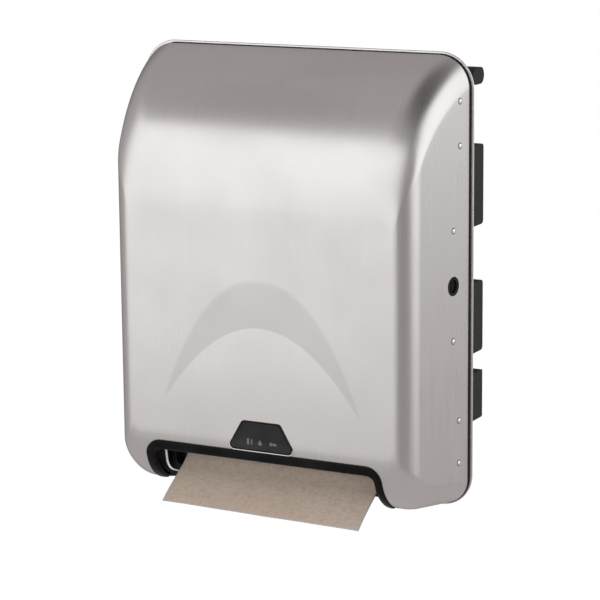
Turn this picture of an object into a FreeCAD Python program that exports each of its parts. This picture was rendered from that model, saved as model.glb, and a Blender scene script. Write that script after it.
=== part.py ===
import FreeCAD, Part
import math
import os
import re
import Sketcher

# Recessed paper towel dispenser: a drawn steel cover on a left-hand hinge, a wall
# flange, a moulded housing in the wall and a motor-driven towel mechanism.
# Frame: +X to the right as one faces it, +Y into the wall, +Z up, millimetres.
# Origin: centre of the wall opening, on the wall's surface.

os.makedirs("parts", exist_ok=True)
Vector = FreeCAD.Vector
Rotation = FreeCAD.Rotation
Placement = FreeCAD.Placement
doc = FreeCAD.newDocument("towel_dispenser")

SIZES = [
    # wall flange
    ("flange_side", 67.5),
    ("flange_sheet", 1.2),
    ("flange_radius", 33.0),
    ("flange_lip", 14.0),
    # cover shell
    ("cover_reveal", 3.0),
    ("cover_standoff", 4.0),
    ("front_room", 1.0),
    ("cover_sheet", 1.2),
    ("side_draft", 10.0),
    ("bottom_draft", 5.0),
    ("back_radius", 30.0),
    ("front_radius", 32.0),
    ("hood_room", 34.0),
    ("chin_radius", 46.0),
    ("edge_radius", 17.0),
    # towel slot and its trim
    ("slot_height", 51.2),
    ("slot_room", 16.5),
    ("slot_radius", 12.0),
    ("trim_lip", 3.5),
    ("trim_inner", 3.8),
    ("trim_proud", 3.0),
    ("trim_return", 25.0),
    ("trim_hook", 3.0),
    # sensor window
    ("window_height", 28.0),
    ("window_top_half", 18.5),
    ("window_bottom_half", 31.7),
    ("window_gap", 1.4),
    ("window_proud", 1.0),
    ("window_radius", 4.5),
    ("window_rim", 1.5),
    ("icon_size", 3.4),
    ("icon_pitch", 12.4),
    ("sensor_depth", 12.0),
    ("sensor_wall", 1.6),
    # lock, rivets and strips on the cover's sides
    ("lock_height", 2.5),
    ("lock_setback", 27.5),
    ("lock_hole", 8.8),
    ("lock_length", 16.0),
    ("plug_radius", 6.2),
    ("cam_sheet", 2.0),
    ("strip_sheet", 1.5),
    ("rivet_shank", 1.3),
    ("rivet_head", 2.1),
    ("rivet_rise", 0.8),
    ("rivet_setback", 18.0),
    ("rivet_inset", 44.0),
    ("rivet_pitch", 39.6),
    ("rivet_mid", 50.0),
    # cover hinge
    ("hinge_inset", 10.0),
    ("hinge_setback", 24.0),
    ("hinge_pin_radius", 2.0),
    ("hinge_eye", 4.4),
    ("hinge_plate", 3.0),
    ("hinge_gap", 1.5),
    # housing in the wall
    ("strap_sheet", 1.5),
    ("tub_inset", 31.0),
    ("tub_taper", 21.0),
    ("tub_top_inset", 22.5),
    ("tub_bottom_inset", 32.5),
    ("tub_slope", 12.0),
    ("rear_room", 16.0),
    ("tub_wall", 2.4),
    ("tub_corner", 22.0),
    ("tub_rim", 8.0),
    ("tub_rim_sheet", 3.0),
    ("screw_spread_x", 150.0),
    ("screw_spread_z", 260.0),
    ("screw_hole", 2.75),
    ("lug_margin", 2.0),
    ("lug_setback", 12.0),
    ("lug_depth", 25.0),
    # towel roll and its arms
    ("towel_width", 203.0),
    ("roll_radius", 93.0),
    ("roll_back", 3.0),
    ("roll_drop", 40.5),
    ("roll_gap", 9.5),
    ("core_radius", 19.0),
    ("core_wall", 1.5),
    ("arm_gap", 1.5),
    ("arm_sheet", 5.0),
    ("arm_foot", 17.5),
    ("hub_clearance", 1.5),
    ("hub_reach", 7.0),
    ("arm_pin_radius", 2.5),
    # side frames and rollers
    ("frame_room", 18.5),
    ("frame_sheet", 2.0),
    ("drive_depth", 56.9),
    ("drive_rise", 73.4),
    ("drive_radius", 14.0),
    ("pinch_radius", 9.0),
    ("nip_angle", 33.0),
    ("towel_sheet", 0.3),
    ("towel_clearance", 0.3),
    ("sleeve_width", 32.0),
    ("sleeve_pitch", 66.0),
    ("drive_journal", 3.0),
    ("pinch_journal", 2.5),
    ("running_clearance", 0.05),
    ("tip_reach", 7.0),
    ("tip_drop", 3.5),
    # gears
    ("gear_module", 1.0),
    ("gear_face", 6.0),
    ("gear_gap", 2.5),
    ("gear_backlash", 0.3),
    ("idler_angle", 25.0),
    ("pinion_angle", 35.0),
    # panel, batteries, board and motor
    ("panel_depth", 78.0),
    ("panel_sheet", 2.5),
    ("panel_rise", 96.5),
    ("shelf_short", 33.0),
    ("cell_radius", 16.6),
    ("cell_length", 61.5),
    ("cell_clearance", 0.4),
    ("box_wall", 2.0),
    ("box_margin", 6.0),
    ("box_foot", 4.0),
    ("box_head", 8.5),
    ("contact_length", 3.5),
    ("slide_overlap", 2.0),
    ("slide_clearance", 0.4),
    ("slide_sheet", 2.2),
    ("slide_travel", 60.0),
    ("button_radius", 8.0),
    ("button_margin", 17.0),
    ("button_drop", 28.5),
    ("button_travel", 2.5),
    ("switch_drop", 56.5),
    ("switch_travel", 6.0),
    ("board_sheet", 1.6),
    ("motor_radius", 14.0),
    ("motor_length", 50.0),
    # outlet chute
    ("chute_depth", 33.0),
    ("chute_length", 11.0),
    ("chute_wall", 3.0),
    ("chute_height", 30.0),
    ("chute_radius", 10.0),
    ("chute_side", 10.0),
    ("tear_sheet", 1.2),
    ("tear_pitch", 4.0),
]

# Sizes that follow from the towel roll, the batteries and the sizes above
DERIVED = {
    "flange_width": "(towel_width + 2 * flange_side)",
    "box_height": "(4 * cell_radius + 4 * cell_clearance + 2 * box_wall)",
    "flange_height": "(2 * roll_radius + roll_drop + roll_gap + box_head + box_height + box_foot + panel_rise)",
    "cover_depth": "(roll_radius + front_room)",
    "hood_radius": "(roll_radius + hood_room)",
    "slot_half": "(towel_width / 2 + slot_room)",
    "rivet_far": "(flange_height / 2 - rivet_inset)",
    "rivet_near": "(flange_height / 2 - rivet_inset - rivet_pitch)",
    "tub_front_half": "(flange_width / 2 - tub_inset)",
    "tub_back_half": "(flange_width / 2 - tub_inset - tub_taper)",
    "tub_top": "(flange_height / 2 - tub_top_inset)",
    "tub_bottom": "(flange_height / 2 - tub_bottom_inset)",
    "tub_depth": "(roll_radius + rear_room)",
    "lug_reach": "(tub_front_half - lug_margin)",
    "lug_far": "(tub_depth - lug_setback)",
    "lug_near": "(tub_depth - lug_setback - lug_depth)",
    "roll_height": "(flange_height / 2 - roll_radius - roll_drop)",
    "frame_half": "(towel_width / 2 + frame_room)",
    "drive_back": "(drive_depth - cover_depth)",
    "drive_height": "(drive_rise - flange_height / 2)",
    "tip_front": "(-cover_depth - tip_reach)",
    "tip_height": "(-flange_height / 2 - tip_drop)",
    "panel_front": "(cover_depth - panel_depth)",
    "panel_bottom": "(panel_rise - flange_height / 2)",
    "panel_top": "(panel_rise - flange_height / 2 + box_foot + box_height + box_head)",
    "shelf_depth": "(roll_radius - shelf_short)",
    "box_left": "(box_margin - frame_half)",
    "box_top": "(panel_top - box_head)",
    "button_x": "(frame_half - button_margin)",
    "button_z": "(panel_top - button_drop)",
    "switch_z": "(panel_top - switch_drop)",
    "chute_half": "(towel_width / 2 + slot_room)",
    "chute_front": "(chute_depth - cover_depth)",
}
GEAR_TEETH = {"drive": 36, "idler": 24, "pinion": 12}
PRESSURE_ANGLE = 20.0

sheet = doc.addObject("Spreadsheet::Sheet", "Sizes")
for row, (alias, value) in enumerate(SIZES, start=1):
    sheet.set("A%d" % row, alias)
    sheet.set("B%d" % row, repr(value))
    sheet.setAlias("B%d" % row, alias)
doc.recompute()

ALIASES = {alias for alias, value in SIZES}
nodes = []


def pointed(match):
    name = match[0]
    if name in DERIVED:
        return bound(DERIVED[name])
    return "Sizes." + name if name in ALIASES else name


def bound(text):
    """Expression text with each size's name pointed at its cell."""
    return re.sub(r"[a-z]\w*", pointed, str(text))


def size(text):
    """Present value of an expression of sizes."""
    return float(sheet.evalExpression(bound(text)))


def bind(thing, prop, text):
    thing.setExpression(prop, bound(text))


def place(thing, x="0", y="0", z="0"):
    """Bind a shape's position to expressions of sizes."""
    for letter, text in zip("xyz", (x, y, z)):
        bind(thing, "Placement.Base." + letter, text)
    return thing


def node(thing, label):
    """Register a finished sub-part under its file's name."""
    thing.Label = label
    nodes.append(thing)
    return thing


# Sketch loops

def close_loop(sketch, first, count):
    """Join the ends of consecutive edges into a closed loop."""
    for step in range(count):
        here, following = first + step, first + (step + 1) % count
        sketch.addConstraint(Sketcher.Constraint("Coincident", here, 2, following, 1))


def locate(sketch, geometry, position, x, y):
    """Tie a sketch point to expressions of sizes."""
    for kind, text in (("DistanceX", x), ("DistanceY", y)):
        rule = Sketcher.Constraint(kind, -1, 1, geometry, position, size(text))
        index = sketch.addConstraint(rule)
        sketch.renameConstraint(index, "d%d" % index)
        sketch.setExpression(".Constraints.d%d" % index, bound(text))


def polygon(sketch, points):
    """Closed loop of straight edges."""
    first = sketch.GeometryCount
    spots = [Vector(size(x), size(y), 0) for x, y in points]
    for here, there in zip(spots, spots[1:] + spots[:1]):
        sketch.addGeometry(Part.LineSegment(here, there), False)
    close_loop(sketch, first, len(points))
    for step, (x, y) in enumerate(points):
        locate(sketch, first + step, 1, x, y)


def circle(sketch, x, y, radius):
    """Round loop."""
    centre = Vector(size(x), size(y), 0)
    index = sketch.addGeometry(Part.Circle(centre, Vector(0, 0, 1), size(radius)), False)
    locate(sketch, index, 3, x, y)
    rule = sketch.addConstraint(Sketcher.Constraint("Radius", index, size(radius)))
    sketch.renameConstraint(rule, "r%d" % rule)
    sketch.setExpression(".Constraints.r%d" % rule, bound(radius))


def rounded(sketch, left, right, low, high, radius):
    """Rectangle with equal round corners."""
    first = sketch.GeometryCount
    x0, x1, y0, y1, r = (size(text) for text in (left, right, low, high, radius))
    corners = [(x1 - r, y0 + r, 270), (x1 - r, y1 - r, 0), (x0 + r, y1 - r, 90), (x0 + r, y0 + r, 180)]
    for step, (cx, cy, start) in enumerate(corners):
        px, py, angle = corners[step - 1]
        begin = math.radians(angle + 90)
        end = math.radians(start)
        line = Part.LineSegment(
            Vector(px + r * math.cos(begin), py + r * math.sin(begin), 0),
            Vector(cx + r * math.cos(end), cy + r * math.sin(end), 0))
        ring = Part.Circle(Vector(cx, cy, 0), Vector(0, 0, 1), r)
        sketch.addGeometry(line, False)
        sketch.addGeometry(Part.ArcOfCircle(ring, end, end + math.pi / 2), False)
    for step in range(8):
        here, following = first + step, first + (step + 1) % 8
        sketch.addConstraint(Sketcher.Constraint("Tangent", here, 2, following, 1))
    for step in (3, 5, 7):
        sketch.addConstraint(Sketcher.Constraint("Equal", first + 1, first + step))
    for step, kind in ((0, "Horizontal"), (2, "Vertical"), (4, "Horizontal"), (6, "Vertical")):
        sketch.addConstraint(Sketcher.Constraint(kind, first + step))
    rule = sketch.addConstraint(Sketcher.Constraint("Radius", first + 1, r))
    sketch.renameConstraint(rule, "r%d" % rule)
    sketch.setExpression(".Constraints.r%d" % rule, bound(radius))
    edges = ((0, "DistanceY", low), (2, "DistanceX", right), (4, "DistanceY", high), (6, "DistanceX", left))
    for step, kind, text in edges:
        index = sketch.addConstraint(Sketcher.Constraint(kind, -1, 1, first + step, 1, size(text)))
        sketch.renameConstraint(index, "d%d" % index)
        sketch.setExpression(".Constraints.d%d" % index, bound(text))


def draw(sketch, loops):
    for shape, *values in loops:
        shape(sketch, *values)


# Solids

PLANES = {"front": ("XZ_Plane", -1), "side": ("YZ_Plane", 1), "top": ("XY_Plane", 1)}


def prism(name, plane, loops, low, high):
    """Body padded from a sketch, from low to high along the plane's own row axis."""
    role, sign = PLANES[plane]
    body = doc.addObject("PartDesign::Body", name)
    sketch = body.newObject("Sketcher::SketchObject", name + "_outline")
    base = [f for f in body.Origin.OriginFeatures if f.Role == role][0]
    sketch.AttachmentSupport = [(base, "")]
    sketch.MapMode = "FlatFace"
    bind(sketch, "AttachmentOffset.Base.z", low if sign > 0 else "-(%s)" % high)
    draw(sketch, loops)
    doc.recompute()
    pad = body.newObject("PartDesign::Pad", name + "_pad")
    pad.Profile = sketch
    bind(pad, "Length", "(%s) - (%s)" % (high, low))
    sketch.Visibility = False
    body.Tip = pad
    return body


def turned(name, profile, y, z):
    """Body turned about an axis along X, from (x, radius) points."""
    body = doc.addObject("PartDesign::Body", name)
    sketch = body.newObject("Sketcher::SketchObject", name + "_profile")
    base = [f for f in body.Origin.OriginFeatures if f.Role == "XZ_Plane"][0]
    sketch.AttachmentSupport = [(base, "")]
    sketch.MapMode = "FlatFace"
    draw(sketch, [(polygon, profile)])
    doc.recompute()
    turn = body.newObject("PartDesign::Revolution", name + "_turn")
    turn.Profile = sketch
    turn.ReferenceAxis = (sketch, ["H_Axis"])
    turn.Angle = 360.0
    sketch.Visibility = False
    body.Tip = turn
    return place(body, "0", y, z)


def block(name, x, y, z):
    """Box between pairs of expressions along each row axis."""
    thing = doc.addObject("Part::Box", name)
    for prop, (low, high) in zip(("Length", "Width", "Height"), (x, y, z)):
        bind(thing, prop, "(%s) - (%s)" % (high, low))
    return place(thing, x[0], y[0], z[0])


AXES = {"x": Rotation(Vector(0, 1, 0), 90), "y": Rotation(Vector(1, 0, 0), -90), "z": Rotation()}


def rod(name, axis, radius, start, length):
    """Cylinder from a start point along a row axis."""
    thing = doc.addObject("Part::Cylinder", name)
    bind(thing, "Radius", radius)
    bind(thing, "Height", length)
    thing.Placement = Placement(Vector(), AXES[axis])
    return place(thing, *start)


def joined(name, things):
    thing = doc.addObject("Part::MultiFuse", name)
    thing.Shapes = things
    return thing


def without(name, base, tool):
    thing = doc.addObject("Part::Cut", name)
    thing.Base = base
    thing.Tool = tool
    return thing


def shared(name, things):
    thing = doc.addObject("Part::MultiCommon", name)
    thing.Shapes = things
    return thing


def grouped(name, things):
    thing = doc.addObject("Part::Compound", name)
    thing.Links = things
    return thing


def mirrored(name, thing):
    """Copy on the other side of the middle plane."""
    copy = doc.addObject("Part::Mirroring", name)
    copy.Source = thing
    copy.Normal = Vector(1, 0, 0)
    return copy


def made(name, shape):
    """Feature whose shape is worked out below from the sizes."""
    thing = doc.addObject("Part::Feature", name)
    thing.Shape = shape
    return thing


# Cover surface: each slice parallel to the wall is a rectangle with round corners

COVER_HALF_WIDTH = size("flange_width / 2 - cover_reveal")
COVER_HALF_HEIGHT = size("flange_height / 2 - cover_reveal")


def drafted_half(depth, inset, half, radius, draft):
    """Half size of a slice whose wall leans in and rolls over into the front."""
    lean = math.radians(draft)
    centre = size("cover_depth") - radius
    if depth <= centre + (radius - inset) * math.sin(lean):
        return half - (depth - size("cover_standoff")) * math.tan(lean) - inset / math.cos(lean)
    edge = half - (centre - size("cover_standoff")) * math.tan(lean) - radius / math.cos(lean)
    return edge + math.sqrt(max((radius - inset) ** 2 - (depth - centre) ** 2, 0.0))


def hood_top(depth, inset):
    """Height of the hood's arc, which meets the front and the cover's top edge."""
    radius = size("hood_radius")
    centre = size("cover_depth") - radius
    rise = math.sqrt(radius ** 2 - (size("cover_standoff") - centre) ** 2)
    return COVER_HALF_HEIGHT - rise + math.sqrt(max((radius - inset) ** 2 - (depth - centre) ** 2, 0.0))


def slice_corner(depth, inset):
    """Corner radius of a slice."""
    share = (depth - size("cover_standoff")) / (size("cover_depth") - size("cover_standoff"))
    radius = size("back_radius") + (size("front_radius") - size("back_radius")) * share - inset
    roll = size("edge_radius") - inset
    centre = size("cover_depth") - size("edge_radius")
    if depth > centre:
        radius += math.sqrt(max(roll ** 2 - (depth - centre) ** 2, 0.0)) - roll
    return radius


def cover_slice(depth, inset):
    half = drafted_half(depth, inset, COVER_HALF_WIDTH, size("edge_radius"), size("side_draft"))
    low = -drafted_half(depth, inset, COVER_HALF_HEIGHT, size("chin_radius"), size("bottom_draft"))
    high = hood_top(depth, inset)
    radius = slice_corner(depth, inset)
    corners = [(half - radius, high - radius, 0), (radius - half, high - radius, 90),
               (radius - half, low + radius, 180), (half - radius, low + radius, 270)]
    arcs = []
    for x, z, start in corners:
        turns = [math.radians(start + step) for step in (0, 45, 90)]
        arcs.append([Vector(x + radius * math.cos(a), -depth, z + radius * math.sin(a)) for a in turns])
    edges = []
    for step, arc in enumerate(arcs):
        edges.append(Part.Arc(*arc).toShape())
        edges.append(Part.LineSegment(arc[2], arcs[(step + 1) % 4][0]).toShape())
    return Part.Wire(edges)


def cover_solid(inset):
    """Closed solid inside the cover's outer surface, in from it by inset."""
    roll = size("edge_radius") - inset
    rolled = size("cover_depth - edge_radius")
    straight = size("cover_standoff")
    depths = [straight + (rolled - straight) * step / 11 for step in range(12)]
    depths += [rolled + roll * math.sin(math.radians(a)) for a in (15, 30, 45, 60, 72, 82, 90)]
    return Part.makeLoft([cover_slice(depth, inset) for depth in depths], True, False)


SIDE_LEAN = math.radians(size("side_draft"))


def side_place(setback, height):
    """Placement on the right side's outer surface, with its own x pointing outwards."""
    x = COVER_HALF_WIDTH - (setback - size("cover_standoff")) * math.tan(SIDE_LEAN)
    return Placement(Vector(x, -setback, height), Rotation(Vector(0, 0, 1), -size("side_draft")))


def on_side(shape, setback, height):
    copy = shape.copy()
    copy.Placement = side_place(setback, height)
    return copy


def other_side(shape):
    return shape.mirror(Vector(), Vector(1, 0, 0))


# Wall flange and the straps that carry the housing

flange = prism("flange_body", "front", [
    (rounded, "-flange_width / 2", "flange_width / 2", "-flange_height / 2", "flange_height / 2",
     "flange_radius"),
    (rounded, "flange_lip - flange_width / 2", "flange_width / 2 - flange_lip",
     "flange_lip - flange_height / 2", "flange_height / 2 - flange_lip", "flange_radius - flange_lip"),
], "-flange_sheet", "0")
node(flange, "wall_flange")

STRAP_HEIGHTS = ("flange_height * 0.22", "-flange_height * 0.22")
STRAP_END = "flange_width / 2 - flange_lip"
STRAP_START = "tub_front_half + 1"
straps = []
screws = []
for index, height in enumerate(STRAP_HEIGHTS):
    strap = prism("strap_%d" % index, "front", [
        (rounded, STRAP_START, STRAP_END, "%s - 12" % height, "%s + 12" % height, "0.4"),
    ], "-flange_sheet", "strap_sheet")
    straps += [strap, mirrored("strap_mirror_%d" % index, strap)]
    for spot in (-1, 1):
        label = "%d_%s" % (index, "low" if spot < 0 else "high")
        head = rod("strap_head_" + label, "y", "3", (
            "tub_front_half + tub_rim / 2", "strap_sheet + tub_rim_sheet", "%s + %d" % (height, spot * 6)), "1.8")
        screws += [head, mirrored("strap_head_mirror_" + label, head)]
node(grouped("straps", straps), "frame_straps")
node(grouped("strap_heads", screws), "strap_screws")

# Housing: a tapered tub with a rim, open at the front


def tub_section(name, inset, y, shrink):
    sketch = doc.addObject("Sketcher::SketchObject", name)
    sketch.Placement = Placement(Vector(), Rotation(Vector(1, 0, 0), 90))
    half = "tub_front_half" if shrink == 0 else "tub_back_half"
    slope = "0" if shrink == 0 else "tub_slope"
    draw(sketch, [(rounded, "%s - %s" % (inset, half), "%s - %s" % (half, inset),
                   "%s - tub_bottom + %s" % (inset, slope), "tub_top - %s - %s" % (slope, inset),
                   "tub_corner - %s" % inset)])
    bind(sketch, "Placement.Base.y", y)
    sketch.Visibility = False
    return sketch


def tub_loft(name, inset, start, end):
    loft = doc.addObject("Part::Loft", name)
    loft.Sections = [tub_section(name + "_front", inset, start, 0), tub_section(name + "_back", inset, end, 1)]
    loft.Solid = True
    loft.Ruled = True
    return loft


tub_outer = tub_loft("tub_outer", "0", "strap_sheet", "tub_depth")
tub_inner = tub_loft("tub_inner", "tub_wall", "strap_sheet", "tub_depth - tub_wall")
rim = prism("tub_rim_ring", "front", [
    (rounded, "-tub_front_half - tub_rim", "tub_front_half + tub_rim",
     "-tub_bottom - tub_rim", "tub_top + tub_rim", "tub_corner + tub_rim"),
    (rounded, "tub_wall - tub_front_half", "tub_front_half - tub_wall",
     "tub_wall - tub_bottom", "tub_top - tub_wall", "tub_corner - tub_wall"),
], "strap_sheet", "strap_sheet + tub_rim_sheet")
tub_shell = without("tub_shell", joined("tub_with_rim", [tub_outer, rim]), tub_inner)
wall_holes = []
for index, (sx, sz) in enumerate(((-1, -1), (1, -1), (1, 1), (-1, 1))):
    wall_holes.append(rod("wall_hole_%d" % index, "y", "screw_hole",
                          ("%d * screw_spread_x / 2" % sx, "tub_depth - 3 * tub_wall",
                           "%d * screw_spread_z / 2" % sz), "6 * tub_wall"))
node(without("tub", tub_shell, joined("wall_holes", wall_holes)), "rear_housing")

# Lugs on the housing's sides: (low, high, rounding) from the bottom up
LUGS = [("28 - tub_bottom", "74 - tub_bottom", "1.5"), ("93.3 - tub_bottom", "160.7 - tub_bottom", "4"),
        ("tub_top - 148", "tub_top - 72.5", "4"), ("tub_top - 16.5", "tub_top - 1", "7.5")]
lug_blocks = []
for index, (low, high, soft) in enumerate(LUGS):
    lug_blocks.append(prism("lug_%d" % index, "side", [
        (rounded, "lug_near", "lug_far", low, high, soft),
    ], "tub_back_half - 8", "lug_reach"))
lugs_right = without("lugs_right", grouped("lug_blocks", lug_blocks), tub_outer)
node(lugs_right, "housing_lugs_right")
node(mirrored("lugs_left", lugs_right), "housing_lugs_left")

# Cover shell

shell_outer = cover_solid(0.0)
shell_inner = cover_solid(size("cover_sheet"))
SLOT_TOP = "slot_height - flange_height / 2"
BELOW = "-flange_height / 2 - 40"


def slot_prism(name, grow):
    """Slot outline seen from the front, grown on all sides, long enough to cut the shell."""
    return prism(name, "front", [
        (rounded, "-slot_half - (%s)" % grow, "slot_half + (%s)" % grow, BELOW,
         "%s + (%s)" % (SLOT_TOP, grow), "slot_radius + (%s)" % grow),
    ], "-cover_depth - 30", "0")


slot_cut = slot_prism("slot_cut", "0")
slot_bead = slot_prism("slot_bead", "trim_lip")
slot_clear = slot_prism("slot_clear", "-trim_inner")
WINDOW_LOW = "(%s + trim_lip + window_gap)" % SLOT_TOP
WINDOW_HIGH = "(%s + window_height)" % WINDOW_LOW


def window_loops(inset):
    """Window outline: a trapezoid, wider below."""
    return [(polygon, [
        ("-window_bottom_half + (%s)" % inset, "%s + (%s)" % (WINDOW_LOW, inset)),
        ("window_bottom_half - (%s)" % inset, "%s + (%s)" % (WINDOW_LOW, inset)),
        ("window_bottom_half - (%s) - 0.5" % inset, "%s + (%s) + 6" % (WINDOW_LOW, inset)),
        ("window_top_half - (%s)" % inset, "%s - (%s)" % (WINDOW_HIGH, inset)),
        ("-window_top_half + (%s)" % inset, "%s - (%s)" % (WINDOW_HIGH, inset)),
        ("-window_bottom_half + (%s) + 0.5" % inset, "%s + (%s) + 6" % (WINDOW_LOW, inset)),
    ])]


window_cut = prism("window_cut", "front", window_loops("window_rim"), "-cover_depth - 5", "-cover_depth + 10")
doc.recompute()

lock_bore = Part.makeCylinder(size("lock_hole"), 40.0, Vector(-20, 0, 0), Vector(1, 0, 0))
rivet_bore = Part.makeCylinder(size("rivet_shank"), 20.0, Vector(-10, 0, 0), Vector(1, 0, 0))
RIVETS = []
for side in (-1, 1):
    RIVETS.append((size("rivet_setback"), size("lock_height") + side * size("rivet_far")))
    RIVETS.append((size("rivet_setback"), size("lock_height") + side * size("rivet_near")))
    RIVETS.append((size("lock_setback"), size("lock_height") + side * size("rivet_mid")))
rivet_bores = [on_side(rivet_bore, setback, height) for setback, height in RIVETS]
rivet_bores += [other_side(bore) for bore in rivet_bores]
side_bores = rivet_bores + [on_side(lock_bore, size("lock_setback"), size("lock_height"))]
shell = shell_outer.cut(shell_inner)
shell = shell.cut([slot_cut.Shape, window_cut.Shape] + side_bores)
node(made("shell", shell), "cover_shell")

# Slot trim: a bead on the shell's outside, a web in the cut and a return inside
ring = slot_bead.Shape.cut(slot_clear.Shape)
web_ring = slot_cut.Shape.cut(slot_clear.Shape)
bead = ring.common(cover_solid(-size("trim_proud")).cut(shell_outer))
hook = web_ring.common(shell_outer.cut(cover_solid(size("cover_sheet + trim_hook"))))
reach = Part.makeBox(2 * size("flange_width"), 60.0, size("flange_height"),
                     Vector(-size("flange_width"), -size("cover_depth - trim_return") - 60.0,
                            -size("flange_height")))
returned = web_ring.common(shell_outer).common(reach)
node(made("trim", bead.fuse([hook, returned]).removeSplitter()), "slot_trim")

# Sensor window, its icons, housing and board
window_plate = prism("window_plate", "front", window_loops("0"),
                     "-cover_depth - window_proud", "-cover_depth")
window_stem = prism("window_stem", "front", window_loops("window_rim"),
                    "-cover_depth", "-cover_depth + cover_sheet")
doc.recompute()
window = doc.addObject("Part::Fillet", "window_soft")
window.Base = joined("window_solid", [window_plate, window_stem])
doc.recompute()
front_plane = -size("cover_depth + window_proud")
soft_edges = []
for index, edge in enumerate(window.Base.Shape.Edges, start=1):
    ends = [vertex.Point for vertex in edge.Vertexes]
    across = abs(ends[0].y - ends[-1].y) > 0.5 * size("window_proud")
    if across and min(p.y for p in ends) < front_plane + 0.01:
        soft_edges.append((index, size("window_radius") * 0.8, size("window_radius") * 0.8))
window.Edges = soft_edges
node(window, "sensor_window")

ICON_LOW = "(%s + 8)" % WINDOW_LOW
icons = []
for index in (-1, 0, 1):
    icons.append(block("icon_%d" % (index + 1),
                       ("%d * icon_pitch - icon_size / 2" % index, "%d * icon_pitch + icon_size / 2" % index),
                       ("-cover_depth - window_proud - 0.15", "-cover_depth - window_proud"),
                       (ICON_LOW, "%s + icon_size" % ICON_LOW)))
node(grouped("icons", icons), "indicator_icons")

SENSOR_HALF = "window_bottom_half + 2"
sensor_outer = block("sensor_outer", ("-(%s)" % SENSOR_HALF, SENSOR_HALF),
                     ("-cover_depth + cover_sheet", "-cover_depth + cover_sheet + sensor_depth"),
                     ("%s - 1" % WINDOW_LOW, "%s + 1" % WINDOW_HIGH))
sensor_hollow = block("sensor_hollow", ("-(%s) + sensor_wall" % SENSOR_HALF, "%s - sensor_wall" % SENSOR_HALF),
                      ("-cover_depth + cover_sheet", "-cover_depth + cover_sheet + sensor_depth - sensor_wall"),
                      ("%s - 1 + sensor_wall" % WINDOW_LOW, "%s + 1 - sensor_wall" % WINDOW_HIGH))
node(without("sensor_case", sensor_outer, sensor_hollow), "sensor_housing")

BOARD_BACK = "-cover_depth + cover_sheet + sensor_depth - sensor_wall"
sensor_card = block("sensor_card", ("-(%s) + sensor_wall + 1" % SENSOR_HALF, "%s - sensor_wall - 1" % SENSOR_HALF),
                    ("%s - board_sheet" % BOARD_BACK, BOARD_BACK),
                    ("%s + sensor_wall" % WINDOW_LOW, "%s - sensor_wall" % WINDOW_HIGH))
eyes = []
for index in (-2, -1, 0, 1, 2):
    lamp = abs(index) < 2
    spot = "%d * icon_pitch" % index if lamp else "%d * 10" % index
    height = "%s + icon_size / 2" % ICON_LOW if lamp else "%s + 13" % WINDOW_LOW
    radius = "1.5" if lamp else "2.5"
    if abs(index) == 2:
        spot = "%d * 4.5" % index
        height = "%s + 18" % WINDOW_LOW
    eyes.append(rod("eye_%d" % (index + 2), "y", radius,
                    (spot, "-cover_depth + cover_sheet + 1", height),
                    "sensor_depth - sensor_wall - board_sheet - 1"))
node(joined("sensor_parts", [sensor_card] + eyes), "sensor_board")

# Strips, clips, lock and rivets on the cover's sides


def side_strip(half_height, half_width, bores):
    """Flat strip against the shell's inner side, in the side's own frame."""
    thick = size("strip_sheet")
    strip = Part.makeBox(thick, 2 * half_width, 2 * half_height,
                         Vector(-size("cover_sheet") - thick, -half_width, -half_height))
    return strip.cut([Part.makeCylinder(radius, 20.0, Vector(-10, 0, height), Vector(1, 0, 0))
                      for height, radius in bores])


shank = size("rivet_shank")
mid = size("rivet_mid")
strip = side_strip(mid + 8.0, 13.0, [(mid, shank), (-mid, shank), (0.0, size("lock_hole"))])
node(made("lock_strip", on_side(strip, size("lock_setback"), size("lock_height"))), "lock_bracket")

PAIR = (size("rivet_far") - size("rivet_near")) / 2
PAIR_HEIGHT = size("lock_height") + (size("rivet_far") + size("rivet_near")) / 2
PAIR_LOW = size("lock_height") - (size("rivet_far") + size("rivet_near")) / 2
clip = side_strip(PAIR + 6.0, 9.0, [(PAIR, shank), (-PAIR, shank)])
finger = Part.makeBox(9.0, size("strip_sheet"), 2 * PAIR - 8.0,
                      Vector(-size("cover_sheet") - 9.0, 9.0 - size("strip_sheet"), 4.0 - PAIR))
clip = clip.fuse(finger)
clips = [on_side(clip, size("rivet_setback"), height) for height in (PAIR_HEIGHT, PAIR_LOW)]
node(made("clips", Part.Compound(clips)), "edge_clips")

HINGE_X = -(COVER_HALF_WIDTH - size("hinge_inset"))
HINGE_Y = -size("hinge_setback")
EYE_HALF = size("hinge_plate") / 2
LEAF_LOW = EYE_HALF + size("hinge_gap")
LEAF_HIGH = LEAF_LOW + 2.0


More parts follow.
